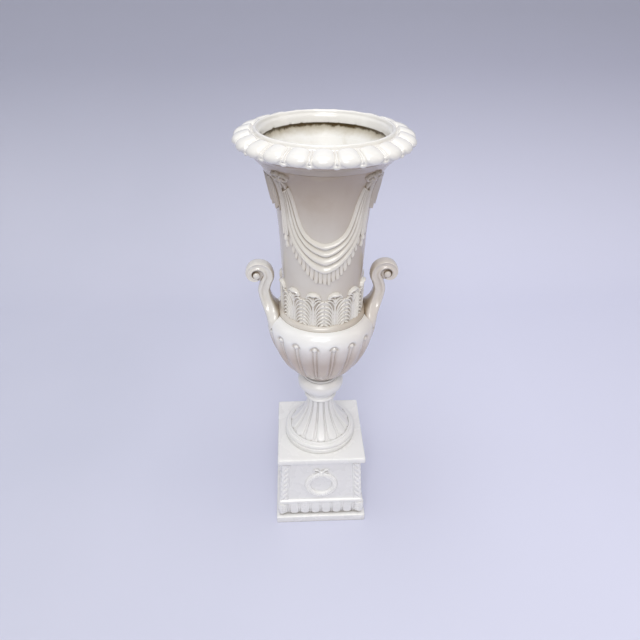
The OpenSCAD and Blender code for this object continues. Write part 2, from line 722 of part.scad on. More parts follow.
// Scroll: direction from its centre in degrees, then the middle of the strap and half its thickness
// as shares of the scroll's radius
scroll_rows_share = [
    [217, 1.11, 0.53], [198, 1.11, 0.52], [180, 1.1, 0.5], [156, 1.06, 0.475], [132, 0.985, 0.45],
    [108, 0.905, 0.42], [84, 0.825, 0.39], [58, 0.75, 0.36], [32, 0.69, 0.335], [6, 0.635, 0.31],
    [-20, 0.58, 0.28], [-46, 0.53, 0.245], [-74, 0.48, 0.21], [-104, 0.43, 0.17]
];
z_scroll = z_neck + scroll_rise;
// Web inside the scroll: how far its middle lies towards the neck, and its radius, as shares of the
// scroll's radius
web_in_share = 0.18;
web_r_share = 0.64;
handle_spine = concat(
    [for (s = stem_rows_share)
        [s[0] * scroll_x, z_neck + s[1] * scroll_rise, s[2] * scroll_r, mix(strap_w, root_w, s[3]) / 2]],
    [for (s = scroll_rows_share)
        [scroll_x + s[1] * scroll_r * cos(s[0]), z_scroll + s[1] * scroll_r * sin(s[0]),
         s[2] * scroll_r, strap_w / 2]]);
strap_sides = 14;
strap_square_share = 0.72;
function rounded(c) = sign(c) * pow(abs(c), strap_square_share);
function handle_ring(k) = let (
        last = len(handle_spine) - 1,
        here = handle_spine[k],
        ahead = handle_spine[min(k + 1, last)],
        behind = handle_spine[max(k - 1, 0)],
        run = [ahead[0] - behind[0], ahead[1] - behind[1]],
        way = run / norm(run))
    [for (i = [0 : strap_sides - 1]) let (
            a = 360 * i / strap_sides,
            out = here[2] * rounded(cos(a)),
            side = here[3] * rounded(sin(a)))
        [here[0] + way[1] * out, side, here[1] - way[0] * out]];

module handle() {
    difference() {
        union() {
            skin([for (k = [0 : len(handle_spine) - 1]) handle_ring(k)]);
            translate([scroll_x, 0, z_scroll]) rotate([90, 0, 0]) {
                translate([-web_in_share * scroll_r, 0, 0])
                    cylinder(r = web_r_share * scroll_r, h = strap_w / 2, center = true, $fn = 48);
                cylinder(r = eye_r, h = strap_w, center = true, $fn = 32);
            }
        }
        body_envelope();
    }
}

module handle_right() { color(glaze) handle(); }
module handle_left() { color(glaze) mirror([1, 0, 0]) handle(); }

/* Sprigged ornament */

// Solid between rings that close on themselves round the vase's axis
module band(rings) {
    n = len(rings[0]);
    m = len(rings);
    polyhedron(points = [for (r = rings) for (p = r) p],
        faces = [for (j = [0 : m - 1]) for (i = [0 : n - 1]) for (half = [0, 1])
            half == 0 ? [j * n + i, (j + 1) % m * n + (i + 1) % n, j * n + (i + 1) % n]
                      : [j * n + i, (j + 1) % m * n + i, (j + 1) % m * n + (i + 1) % n]],
        convexity = 10);
}

// Large leaves with a smaller one between each two, as one frieze round the foot of the neck
leaf_places_share = [-0.8, -0.6, -0.3, 0, 0.3, 0.6, 0.8, 1];
large_leaf_share = 0.62;
small_leaf_share = 0.6;
gap_leaf_share = 0.42;
leaf_rises_share = [0, 0.35, 0.65, 0.9, 1];
leaf_swell_share = [0.7, 0.75, 0.85, 1.25, 0.7];
function leaf_top(x) = abs(x) < large_leaf_share
    ? mix(gap_leaf_share, 1, lobe_crest(x / large_leaf_share))
    : mix(gap_leaf_share, small_leaf_share, lobe_crest((1 - abs(x)) / (1 - large_leaf_share)));
function leaf_rib(x) = abs(x) < large_leaf_share ? mix(0.5, 1, abs(cos(x / large_leaf_share * 270))) : 0.7;
z_leaves = z_neck + neck_bead_r + lute_gap;
module acanthus_frieze() {
    step = 360 / acanthus_count;
    color(glaze_shade) band([for (i = [0 : acanthus_count - 1]) for (x = leaf_places_share) let (
            turn = front + step * (i + 0.5 + x / 2),
            h = acanthus_h * leaf_top(x))
        concat(
            [for (k = [len(leaf_rises_share) - 1 : -1 : 0]) let (z = z_leaves + leaf_rises_share[k] * h)
                polar(neck_radius(z) + lute_gap + acanthus_relief * leaf_swell_share[k] * leaf_rib(x),
                    turn, z)],
            [polar(neck_radius(z_leaves) + lute_gap, turn, z_leaves),
             polar(neck_radius(z_leaves + h) + lute_gap, turn, z_leaves + h)])]);
}

// Folds down a swag: share of its depth and how far the clay stands out there as a share of the relief
swag_folds_share = [
    [0, 0.35], [0.06, 0.95], [0.19, 0.9], [0.26, 0.2], [0.35, 1], [0.47, 0.75], [0.53, 0.25], [0.61, 0.9],
    [0.71, 0.65], [0.76, 0.25], [0.85, 0.85], [0.95, 0.6], [1, 0.1]
];
// The swag's two edges from its middle to a knot: share of the way, the upper edge's turn as a share
// of the knot's and its rise as a share of the way up to the knot, then both again for the lower edge
swag_edges_share = [
    [0, 0, 0, 0, 0], [0.2, 0.21, 0.03, 0.3, 0.04], [0.4, 0.45, 0.105, 0.6, 0.135],
    [0.55, 0.61, 0.215, 0.82, 0.23],
    [0.7, 0.72, 0.39, 0.99, 0.335], [0.85, 0.8, 0.64, 1.09, 0.52], [1, 0.87, 0.88, 1.07, 0.86]
];
// Shares of the swag's depth at which its back has points
swag_back_shares = [1, 0.67, 0.33, 0];
// Thickness of the folds at the knots as a share of that in the middle
swag_end_share = 0.6;
// Share of the relief under which a place counts as a valley
valley_share = 0.3;
swag_stations = 18;
z_knot = z_rim - knot_drop;
z_swag_top = z_neck + swag_low_rise;
z_swag_low = z_swag_top - swag_deep;
function swag_edge(s, column) = lookup(s, [for (row = swag_edges_share) [row[0], row[column]]]);
function top_turn(s) = knot_turn * swag_edge(s, 1);
function top_z(s) = mix(z_swag_top, z_knot, swag_edge(s, 2));
function low_turn(s) = knot_turn * swag_edge(s, 3);
function low_z(s) = mix(z_swag_low, z_knot, swag_edge(s, 4));
function swag_out(share) = lute_gap + swag_relief * share + (share < valley_share ? swag_valley : 0);
module swag() {
    skin([for (k = [0 : swag_stations]) let (
            u = 2 * k / swag_stations - 1,
            s = abs(u),
            thin = mix(1, swag_end_share, s))
        concat(
            [for (f = swag_folds_share) let (z = mix(top_z(s), low_z(s), f[0]))
                polar(neck_radius(z) + swag_out(f[1] * thin),
                    front + sign(u) * mix(top_turn(s), low_turn(s), f[0]), z)],
            [for (t = swag_back_shares) let (z = mix(top_z(s), low_z(s), t))
                polar(neck_radius(z) + lute_gap, front + sign(u) * mix(top_turn(s), low_turn(s), t), z)])]);
}
module swag_front() { color(glaze_shade) swag(); }
module swag_back() { color(glaze_shade) rotate(180) swag(); }

// Pleated fringe that hangs under the middle of a swag
fringe_reach_share = 0.7;
// Depth of the fringe at its ends, length and relief of its inner pleats, and thickness of its hem
fringe_end_share = 0.5;
fringe_step_share = 0.86;
fringe_valley_share = 0.5;
fringe_hem_share = 0.6;
module swag_fringe() {
    skin([for (k = [0 : 2 * fringe_pleats]) let (
            w = k / fringe_pleats - 1,
            s = abs(w) * fringe_reach_share,
            turn = front + sign(w) * low_turn(s),
            top = low_z(s) - 2 * lute_gap,
            pleat = k % 2,
            deep = fringe_deep * mix(1, fringe_end_share, w * w) * mix(fringe_step_share, 1, pleat),
            out = fringe_relief * mix(fringe_valley_share, 1, pleat))
        [polar(neck_radius(top) + lute_gap + out, turn, top),
         polar(neck_radius(top - deep / 2) + lute_gap + out, turn, top - deep / 2),
         polar(neck_radius(top - deep) + lute_gap + fringe_hem_share * out, turn, top - deep),
         polar(neck_radius(top - deep) + lute_gap, turn, top - deep),
         polar(neck_radius(top) + lute_gap, turn, top)]]);
}
module swag_fringe_front() { color(glaze_shade) swag_fringe(); }
module swag_fringe_back() { color(glaze_shade) rotate(180) swag_fringe(); }

// Knot with its two ribbon loops at a turn round the neck
module knot(turn) {
    r = neck_radius(z_knot);
    difference() {
        rotate(turn) union() {
            translate([r + knot_r / 4, 0, z_knot]) sphere(r = knot_r, $fn = 32);
            for (side = [-1, 1]) translate([r + knot_r / 3, side * knot_r / 2, z_knot + knot_r])
                sphere(r = knot_r / 2, $fn = 32);
        }
        neck_envelope();
    }
}

// Pleated strip of cloth that hangs down the neck, with a pointed hem. Its pleats are places across
// half the width, each with how far the clay stands out there as a share of the relief
tail_pleats_share = [[-1, 0.3], [-0.72, 1], [-0.38, 0.4], [0, 0.95], [0.38, 0.4], [0.72, 1], [1, 0.3]];
jabot_pleats_share = [
    [-1, 0.3], [-0.88, 1], [-0.7, 0.45], [-0.52, 0.95], [-0.36, 0.4], [-0.18, 0.9], [0, 0.4],
    [0.18, 0.9], [0.36, 0.4], [0.52, 0.95], [0.7, 0.45], [0.88, 1], [1, 0.3]
];
strip_rows = 5;
module hanging_strip(turn, z_high, len, w_high, w_low, relief, stand, point, pleats) {
    last = len(pleats) - 1;
    skin([for (k = [0 : strip_rows]) let (
            s = k / strip_rows,
            z_mid = z_high - len * (1 - s),
            half_w = mix(w_low, w_high, s) / 2,
            dip = point * (1 - s))
        concat(
            [for (p = pleats) let (z = z_mid + dip * abs(p[0]), r = neck_radius(z))
                polar(r + lute_gap + relief * p[1] + stand * (1 - s),
                    turn + p[0] * half_w / r * 180 / PI, z)],
            [for (i = [last : -1 : 0]) let (x = pleats[i][0], z = z_mid + dip * abs(x), r = neck_radius(z))
                polar(r + lute_gap, turn + x * half_w / r * 180 / PI, z)])],
        flat_ends = false);
}

// Width of a tail at its upper end as a share of that at its lower end
tail_top_share = 0.7;
// Ribbon tail with a tassel at its lower end
module tail(turn) {
    z_high = z_knot - knot_r - lute_gap;
    z_low = z_high - tail_len + tassel_len;
    r = neck_radius(z_low);
    tuft_r = tail_w / 3;
    hanging_strip(turn, z_high, tail_len - tassel_len, tail_top_share * tail_w, tail_w, tail_w / 4, 0,
        tail_w / 2, tail_pleats_share);
    difference() {
        rotate(turn) translate([r + tuft_r / 2, 0, z_low - tuft_r - lute_gap]) {
            sphere(r = tuft_r, $fn = 32);
            translate([0, 0, -tassel_len]) cylinder(r1 = tuft_r / 4, r2 = tuft_r, h = tassel_len, $fn = 32);
        }
        neck_envelope();
    }
}

// Width of that drapery's hem as a share of its top, and its relief as a share of the swags'
jabot_foot_share = 0.85;
jabot_relief_share = 0.75;
// Short drapery over a handle, between two knots
module jabot(turn) {
    w = 2 * neck_radius(z_knot - knot_r) * jabot_turn * PI / 180;
    hanging_strip(turn, z_knot - knot_r, jabot_len, w, jabot_foot_share * w, jabot_relief_share * swag_relief,
        jabot_stand, -knot_r, jabot_pleats_share);
}

module knot_front_left() { color(glaze_shade) knot(front - knot_turn); }
module knot_front_right() { color(glaze_shade) knot(front + knot_turn); }
module knot_back_left() { color(glaze_shade) knot(back + knot_turn); }
module knot_back_right() { color(glaze_shade) knot(back - knot_turn); }
module tail_front_left() { color(glaze_shade) tail(front - tail_turn); }
module tail_front_right() { color(glaze_shade) tail(front + tail_turn); }
module tail_back_left() { color(glaze_shade) tail(back + tail_turn); }
module tail_back_right() { color(glaze_shade) tail(back - tail_turn); }
module jabot_left() { color(glaze_shade) jabot(left); }
module jabot_right() { color(glaze_shade) jabot(right); }

/* Fixings */

z_cushion_low = z_web - cushion_h;
z_washer_low = z_cushion_low - washer_h;
z_nut_low = z_washer_low - nut_h;
z_washer_high = z_bowl_floor + cushion_h;
z_nut_high = z_washer_high + washer_h;

// Flat ring with a hole for the rod
module ring_disc(d, hole_d, z, h) {
    translate([0, 0, z]) difference() {
        cylinder(d = d, h = h, $fn = 64);
        translate([0, 0, -overrun]) cylinder(d = hole_d, h = h + 2 * overrun, $fn = 48);
    }
}
module nut(z) {
    translate([0, 0, z]) difference() {
        cylinder(d = nut_af / cos(30), h = nut_h, $fn = 6);
        translate([0, 0, -overrun]) cylinder(d = rod_d + 2 * rod_gap, h = nut_h + 2 * overrun, $fn = 48);
    }
}
module packing_ring() {
    color(rubber) ring_disc(2 * (bowl_foot_r - packing_h), rod_hole_d, z_packing, packing_h);
}
module rubber_washer_upper() { color(rubber) ring_disc(washer_d, rod_hole_d, z_bowl_floor, cushion_h); }
module rubber_washer_lower() { color(rubber) ring_disc(washer_d, rod_hole_d, z_cushion_low, cushion_h); }
module washer_upper() { color(steel) ring_disc(washer_d, rod_d + 2 * rod_gap, z_washer_high, washer_h); }
module washer_lower() { color(steel) ring_disc(washer_d, rod_d + 2 * rod_gap, z_washer_low, washer_h); }
module nut_upper() { color(steel) nut(z_nut_high); }
module nut_lower() { color(steel) nut(z_nut_low); }
module tie_rod() {
    z_low = z_nut_low - rod_spare;
    z_high = z_nut_high + nut_h + rod_spare;
    color(steel) translate([0, 0, z_low]) cylinder(d = rod_d, h = z_high - z_low, $fn = 48);
}

plinth_base_slab();
plinth_tongue_moulding();
plinth_dado();
plinth_top_slab();
corner_leaves_front_left();
corner_leaves_front_right();
corner_leaves_back_left();
corner_leaves_back_right();
wreath_front();
wreath_back();
wreath_left();
wreath_right();
wreath_bow_front();
wreath_bow_back();
wreath_bow_left();
wreath_bow_right();
foot();
bowl();
neck();
rim_collar();
handle_left();
handle_right();
acanthus_frieze();
swag_front();
swag_back();
swag_fringe_front();
swag_fringe_back();
knot_front_left();
knot_front_right();
knot_back_left();
knot_back_right();
tail_front_left();
tail_front_right();
tail_back_left();
tail_back_right();
jabot_left();
jabot_right();
packing_ring();
rubber_washer_upper();
rubber_washer_lower();
washer_upper();
washer_lower();
nut_upper();
nut_lower();
tie_rod();
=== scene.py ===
import math

import bpy
import numpy as np
from mathutils import Matrix, Vector


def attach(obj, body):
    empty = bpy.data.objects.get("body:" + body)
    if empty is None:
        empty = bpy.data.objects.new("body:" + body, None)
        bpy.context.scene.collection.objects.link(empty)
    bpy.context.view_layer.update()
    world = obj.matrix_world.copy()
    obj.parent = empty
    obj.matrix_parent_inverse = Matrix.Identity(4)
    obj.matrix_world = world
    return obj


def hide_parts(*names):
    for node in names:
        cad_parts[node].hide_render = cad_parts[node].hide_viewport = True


# Looks of the pedestal vase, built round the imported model. Lengths are in millimetres until a mesh is made,
# and turns are in degrees round the vase's axis. A stroke of relief is a list of (x, y, half width, height).
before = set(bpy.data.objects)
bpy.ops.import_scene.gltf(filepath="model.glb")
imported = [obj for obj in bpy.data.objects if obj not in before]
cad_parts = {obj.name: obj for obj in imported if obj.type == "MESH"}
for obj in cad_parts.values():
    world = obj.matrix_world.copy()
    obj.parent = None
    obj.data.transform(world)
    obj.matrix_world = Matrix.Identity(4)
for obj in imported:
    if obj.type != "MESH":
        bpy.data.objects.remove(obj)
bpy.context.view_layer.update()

MM = 0.001
FRONT, BACK, LEFT, RIGHT = -90.0, 90.0, 180.0, 0.0

# Heights of the seats between the castings, from the ground up
Z_TONGUES, Z_FILLET, Z_DADO, Z_NECKING, Z_TOP_SLAB = 18.0, 54.0, 64.0, 166.0, 175.3
Z_FOOT, Z_STEP, Z_PETALS, Z_ASTRAGAL, Z_COLLAR = 189.0, 209.0, 212.0, 291.0, 298.0
Z_KNOP, Z_KNOP_RING, Z_PACKING = 316.0, 343.0, 347.5
Z_BOWL, Z_FLOOR, Z_BELLY, Z_NECK, Z_RIM = 350.0, 361.0, 471.0, 498.0, 782.0

# Radii and walls of the solids. The neck swells and flares by two powers of its share of height.
NECK_R, NECK_SWELL, SWELL_POWER, NECK_FLARE, FLARE_POWER = 70.5, 14.0, 2.4, 24.5, 9.0
NECK_BEAD_R, NECK_BEAD = 72.0, 8.5
BOWL_R, BOWL_FOOT_R, SHOULDER_R, ROD_HOLE_R = 100.7, 32.0, 81.5, 5.5
NECK_WALL, BOWL_WALL = 7.0, 13.0
NECK_HOLE_R = NECK_R - NECK_WALL


# Curves and noise

def through(x, xs, ys):
    """Smooth curve through the points that doesn't overshoot them."""
    xs, ys = np.asarray(xs, float), np.asarray(ys, float)
    h = np.diff(xs)
    d = np.diff(ys) / h
    m = np.concatenate([[d[0]], np.zeros(len(d) - 1), [d[-1]]])
    total = d[:-1] + d[1:]
    same = d[:-1] * d[1:] > 0
    m[1:-1][same] = 2 * (d[:-1] * d[1:])[same] / total[same]
    x = np.clip(x, xs[0], xs[-1])
    i = np.clip(np.searchsorted(xs, x, side="right") - 1, 0, len(h) - 1)
    t = (x - xs[i]) / h[i]
    return ((1 + 2 * t) * (1 - t) ** 2 * ys[i] + t * (1 - t) ** 2 * h[i] * m[i]
            + t * t * (3 - 2 * t) * ys[i + 1] + t * t * (t - 1) * h[i] * m[i + 1])


def arc_length(line):
    """Length along a broken line up to each of its points."""
    return np.concatenate([[0], np.cumsum(np.linalg.norm(np.diff(line, axis=0), axis=1))])


def along(line, at):
    """Points of a broken line at those lengths along it."""
    s = arc_length(line)
    return np.stack([np.interp(at, s, column) for column in line.T], 1)


def spline(points, count):
    """count points spaced evenly along a smooth curve through the points."""
    p = np.asarray(points, float)
    ext = np.vstack([2 * p[0] - p[1], p, 2 * p[-1] - p[-2]])
    spans = len(ext) - 3
    u = np.linspace(0, spans, spans * 24 + 1)
    i = np.minimum(u.astype(int), spans - 1)
    t = (u - i)[:, None]
    a, b, c, d = ext[i], ext[i + 1], ext[i + 2], ext[i + 3]
    square, cube = 2 * a - 5 * b + 4 * c - d, 3 * b - a - 3 * c + d
    fine = 0.5 * (2 * b + (c - a) * t + square * t * t + cube * t ** 3)
    return along(fine, np.linspace(0, arc_length(fine)[-1], count))


def outward(line):
    """Unit vectors to the right of a broken line, at each of its points."""
    way = np.gradient(line, axis=0)
    way /= np.linalg.norm(way, axis=1)[:, None]
    return np.stack([way[:, 1], -way[:, 0]], 1)


def ease(t):
    t = np.clip(t, 0, 1)
    return t * t * (3 - 2 * t)


def dome(t, power=2.0):
    """1 in the middle and 0 from |t| = 1 on, with a round shoulder."""
    return np.sqrt(np.clip(1 - np.abs(t) ** power, 0, 1))


def ends(at, low, low_run, high=math.inf, high_run=1.0):
    """0 between low and high, and 1 a run beyond either."""
    return np.maximum(np.maximum((low - at) / low_run, (at - high) / high_run), 0)


def noise(p, size, seed=0.0):
    """Smooth noise from -1 to 1 at points p, with features of about that size."""
    q = np.asarray(p, float) / size + 31.7 + seed
    i = np.floor(q)
    f = q - i
    f = f * f * (3 - 2 * f)
    total = 0
    for corner in range(8):
        o = np.array([corner & 1, corner >> 1 & 1, corner >> 2 & 1])
        w = np.prod(np.where(o, f, 1 - f), axis=-1)
        n = np.sin((i + o) @ np.array([127.1, 311.7, 74.7]) + seed * 3.1) * 43758.5453
        total = total + w * (n - np.floor(n))
    return 2 * total - 1


def spots(x, y, z=0.0):
    """Points for the noise of a flat sheet."""
    return np.stack([x, y, z + 0 * x], -1)


def neck_share(z):
    return np.clip((z - Z_NECK) / (Z_RIM - Z_NECK), 0, 1)


def neck_radius(z):
    t = neck_share(z)
    return NECK_R + NECK_SWELL * t ** SWELL_POWER + NECK_FLARE * t ** FLARE_POWER


def neck_slope(z):
    t = neck_share(z)
    swell = NECK_SWELL * SWELL_POWER * t ** (SWELL_POWER - 1)
    flare = NECK_FLARE * FLARE_POWER * t ** (FLARE_POWER - 1)
    return (swell + flare) / (Z_RIM - Z_NECK)


def bowl_radius(z):
    low = np.clip((Z_BELLY - z) / (Z_BELLY - Z_BOWL), 0, 1)
    high = np.clip((z - Z_BELLY) / (Z_NECK - Z_BELLY), 0, 1)
    below = BOWL_FOOT_R + (BOWL_R - BOWL_FOOT_R) * (1 - low ** 1.5) ** (1 / 1.5)
    return np.where(z < Z_BELLY, below, SHOULDER_R + (BOWL_R - SHOULDER_R) * np.sqrt(1 - high ** 2))


# Meshes

def grid(left, right, cols, low, high, rows):
    return np.meshgrid(np.linspace(left, right, cols), np.linspace(low, high, rows))


def quads(rows, cols, wrap_rows=False, wrap_cols=False):
    """Faces of a grid of points, anticlockwise when columns run right and rows run up."""
    r = np.arange(rows if wrap_rows else rows - 1)
    c = np.arange(cols if wrap_cols else cols - 1)
    r, c = np.meshgrid(r, c, indexing="ij")
    r2, c2 = (r + 1) % rows, (c + 1) % cols
    return np.stack([r * cols + c, r * cols + c2, r2 * cols + c2, r2 * cols + c], -1).reshape(-1, 4)


def capped(rows, sides):
    """Faces of a tube of that many rows of points, closed with a flat cap at each end."""
    last = (rows - 1) * sides
    caps = [list(range(sides - 1, -1, -1)), list(range(last, last + sides))]
    return quads(rows, sides, False, True).tolist() + caps


def cells(h):
    """Faces of a grid that have any height at a corner."""
    k = h > 0
    return quads(*h.shape)[(k[:-1, :-1] | k[1:, :-1] | k[:-1, 1:] | k[1:, 1:]).reshape(-1)]


def cut_out(h):
    """The height with its empty ground sunk, so that a relief's edge dips into the face that it lies on."""
    return np.where(h > 0, h, -0.4)


def new_object(name, data):
    obj = bpy.data.objects.new(name, data)
    bpy.context.scene.collection.objects.link(obj)
    return obj


def mesh_object(name, co, faces, material):
    """Smooth mesh object from points in metres and faces."""
    mesh = bpy.data.meshes.new(name)
    mesh.from_pydata(co, [], faces)
    mesh.polygons.foreach_set("use_smooth", [True] * len(mesh.polygons))
    mesh.materials.append(material)
    mesh.update()
    return new_object(name, mesh)


def add_piece(name, co, faces, body, nodes, material):
    """Mesh object from points in millimetres and faces, that stands for the CAD nodes."""
    co = np.asarray(co, float).reshape(-1, 3) * MM
    faces = faces.tolist() if isinstance(faces, np.ndarray) else faces
    obj = mesh_object(name, co.tolist(), faces, material)
    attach(obj, body)
    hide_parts(*nodes)
    return obj


def shell(front, back, faces):
    """Closed skin from a front sheet, the matching back sheet and the front's faces that are kept."""
    front, back = front.reshape(-1, 3), back.reshape(-1, 3)
    n = len(front)
    edges = np.concatenate([faces[:, pair] for pair in ([0, 1], [1, 2], [2, 3], [3, 0])])
    keys = set(map(tuple, edges.tolist()))
    rim = sorted((x, y) for x, y in keys if (y, x) not in keys)
    sides = np.array([[y, x, x + n, y + n] for x, y in rim], int).reshape(-1, 4)
    every = np.concatenate([faces, faces[:, ::-1] + n, sides])
    used, place = np.unique(every, return_inverse=True)
    return np.concatenate([front, back])[used], place.reshape(-1, 4)


def ornament(name, nodes, sheets, faces, material, body="urn"):
    """Piece of relief from its front and back sheets and the faces that are kept."""
    co, skin = shell(*sheets, faces)
    return add_piece(name, co, skin, body, nodes, material)


def turned(r, turn, z):
    """Points at radius r and turn in degrees round the vase's axis."""
    a = np.radians(turn)
    return np.stack([r * np.cos(a), r * np.sin(a), z + 0 * a], -1)


def on_neck(turn, z, h, sink=0.8):
    """Front and back sheets of a relief h high, laid on the neck at turns and heights."""
    slope = neck_slope(z)
    n_out, n_up = 1 / np.sqrt(1 + slope ** 2), -slope / np.sqrt(1 + slope ** 2)
    r = neck_radius(z)
    return turned(r + n_out * h, turn, z + n_up * h), turned(r - sink, turn, z)


def both(*points):
    """A stroke and its mirror image."""
    return [[(s * x, y, half, rise) for x, y, half, rise in points] for s in (-1, 1)]


def loop(cx, cy, rx, ry, half, rise, steps):
    """Stroke round an ellipse."""
    a = np.radians(np.linspace(0, 360, steps))
    return [(cx + rx * math.cos(t), cy + ry * math.sin(t), half, rise) for t in a]


def relief(x, y, strokes):
    """Height at points (x, y) of rounded strokes, where the highest stroke counts."""
    best = np.zeros_like(x)
    for stroke in strokes:
        s = np.asarray(stroke, float)
        lo, hi = s[:, :2].min(0) - s[:, 2].max(), s[:, :2].max(0) + s[:, 2].max()
        near = (x > lo[0]) & (x < hi[0]) & (y > lo[1]) & (y < hi[1])
        px, py, top = x[near], y[near], np.zeros(near.sum())
        for a, b in zip(s[:-1], s[1:]):
            d = b[:2] - a[:2]
            t = np.clip(((px - a[0]) * d[0] + (py - a[1]) * d[1]) / max(d @ d, 1e-9), 0, 1)
            w, h = a[2] + (b[2] - a[2]) * t, a[3] + (b[3] - a[3]) * t
            off = np.hypot(px - a[0] - d[0] * t, py - a[1] - d[1] * t) / np.maximum(w, 1e-6)
            top = np.maximum(top, h * dome(off))
        best[near] = np.maximum(best[near], top)
    return best


def around(count):
    """Turns of that many columns, spaced evenly round the axis."""
    return np.arange(count) * 360.0 / count


def cells_round(outline, turns, count, start=FRONT):
    """For count equal cells round the axis: half the width of one at each row of the outline, and how far
    each point is from the middle of its cell and from where it meets the next."""
    x = np.abs((turns - start) / (360.0 / count) % 1 * 2 - 1)
    half = outline[:, :1] * math.radians(180.0 / count)
    return half, x * half, (1 - x) * half


def all_round(outline, turns):
    """Rows of one outline of (radius, height), the same at each turn."""
    return np.repeat(np.array(outline, float)[:, None, :], len(turns), 1)


def raised(outline, h):
    """Rows of an outline whose points stand h off it, to its right."""
    return outline[:, None, :] + outward(outline)[:, None, :] * h[..., None]


def waver(rows, turns, size, seed):
    """Noise at the points of rows x turns x (radius, height)."""
    return noise(turned(rows[..., 0], turns, rows[..., 1]), size, seed)


def ring_solid(name, node, rows, turns, material, others=()):
    """Closed body of revolution from rows x turns x (radius, height), whose last row meets the first.
    Each of the others is a material with the first row and the row after the last that get it."""
    faces = quads(len(rows), len(turns), True, True)
    co = turned(rows[..., 0], turns, rows[..., 1])
    obj = add_piece(name, co, faces, "urn", [node], material)
    marks = np.zeros(len(faces), np.int32)
    for k, (other, first, end) in enumerate(others):
        obj.data.materials.append(other)
        marks[first * len(turns):end * len(turns)] = k + 1
    obj.data.polygons.foreach_set("material_index", marks)
    return obj


def rounded_outline(points, steps=4):
    """Closed outline of points (half width, height, radius) with each corner rounded by its radius."""
    p = np.array(points, float)
    out = []
    for before, here, after in zip(np.roll(p, 1, 0), p, np.roll(p, -1, 0)):
        corner = here[:2]
        da, db = before[:2] - corner, after[:2] - corner
        la, lb = np.linalg.norm(da), np.linalg.norm(db)
        r = min(here[2], 0.45 * la, 0.45 * lb)
        if r < 0.02:
            out.append(corner)
            continue
        pa, pb = corner + da / la * r, corner + db / lb * r
        for t in np.arange(steps + 1) / steps:
            out.append((1 - t) ** 2 * pa + 2 * t * (1 - t) * corner + t * t * pb)
    return np.array(out)


def densify(outline, longest, closed=True):
    """The outline with its long stretches cut into shorter ones."""
    out = []
    n = len(outline)
    for i in range(n if closed else n - 1):
        a, b = outline[i], outline[(i + 1) % n]
        k = max(1, int(math.ceil(np.linalg.norm(b - a) / longest)))
        out += [a + (b - a) * j / k for j in range(k)]
    if not closed:
        out.append(outline[-1])
    return np.array(out)


# Rim: a smooth core with 23 rounded lobes and a fine fillet between each two

RIM_LOBES, RIM_TURN = 23, 4.0
RIM_CORE = [
    (109.9, 782.0), (112.6, 785.0), (117.0, 790.2), (122.6, 795.0), (128.4, 798.2), (132.4, 799.6),
    (134.3, 800.6), (134.9, 801.8), (135.7, 804.2), (135.2, 807.2), (132.0, 810.6), (126.4, 813.4),
    (119.4, 815.6), (112.0, 817.2), (109.4, 818.2), (108.7, 820.0), (108.0, 822.2), (107.0, 823.4),
    (105.4, 823.9), (103.8, 823.3), (102.7, 821.6), (102.0, 819.2), (101.0, 817.6), (99.4, 815.2),
    (98.2, 811.8), (97.4, 808.6), (97.0, 806.2), (97.5, 804.3), (99.4, 803.2), (101.0, 800.8),
    (100.8, 797.0), (99.2, 792.0), (97.0, 786.6), (95.35, 782.4), (95.2, 782.0)]
LOBES_FROM, LOBES_TO = 7, 13
LOBE_RISE, FILLET_RISE, DART_RISE = 5.6, 3.3, 2.2
LIP_R, LIP_Z = 97.0, 806.0


def rim_collar(material, under, inner):
    turns = around(RIM_LOBES * 40)
    smooth = spline(RIM_CORE, 1 + 40 * (len(RIM_CORE) - 1))
    s = arc_length(smooth)
    marks = [s[np.argmin(np.linalg.norm(smooth - p, axis=1))] for p in RIM_CORE]
    v = []
    for i in range(len(RIM_CORE) - 1):
        steps = 6 if i < LOBES_FROM else 7 if i < LOBES_TO else 3
        v += [marks[i] + (marks[i + 1] - marks[i]) * k / steps for k in range(steps)]
    outline = np.vstack([along(smooth, v), RIM_CORE[-1]])
    v = np.append(v, marks[-1]) - marks[LOBES_FROM]
    length = marks[LOBES_TO] - marks[LOBES_FROM]
    half, side, gap = cells_round(outline, turns, RIM_LOBES, FRONT + RIM_TURN)
    up = v[:, None] + 0 * side
    lobe = LOBE_RISE * dome(np.hypot(side / (0.855 * half), ends(up, 9.5, 9.5, length - 3.0, 3.0)), 2.3)
    fillet = FILLET_RISE * dome(np.hypot(gap / 1.65, ends(up, 7.5, 4.0, length - 1.5, 1.5)))
    dart = DART_RISE * dome(np.hypot(gap / 5.2, (up - 0.2) / 2.6), 1.4) * (up < 3.2)
    h = np.maximum(np.maximum(lobe, fillet), dart) * (up > -3.0)
    rows = raised(outline, h)
    rows[..., 0] += 0.25 * waver(rows, turns, 30.0, 1.0) * (rows[..., 0] < 138.5)
    # The lip's edge is a little chipped and rough
    lip = np.exp(-((outline[:, 1:] - LIP_Z + 0.5) / 2.2) ** 2) * (outline[:, :1] < 99.5)
    edge = turned(LIP_R, turns, LIP_Z)
    chips = np.clip(noise(edge, 9.0, 4.0) * 1.5 - 0.55, 0, 1)
    rows[..., 0] += lip * (1.6 * chips + 0.35 * 0.6 * noise(edge, 3.5, 9.0))
    rows[..., 1] += lip * (1.8 * chips)
    lip_row = int(np.argmin(np.abs(outline[:, 1] - 804.6) + (outline[:, 0] > 99) * 99))
    cove_end = int(np.argmax(v > -1.5))
    # The cove under the lobes takes a darker glaze, painted shade under the rim's overhang; the inside takes
    # the inner glaze
    others = [(under, 0, cove_end), (inner, lip_row, len(rows))]
    return ring_solid("rim_collar_lobed", "rim_collar", rows, turns, material, others)


# Neck: a waisted tube that flares under the rim, with a quarter round at its foot

FLARE_HOLLOW_R, Z_FLARE, FLARE_HOLLOW_SLOPE = 79.0, 740.0, 0.386


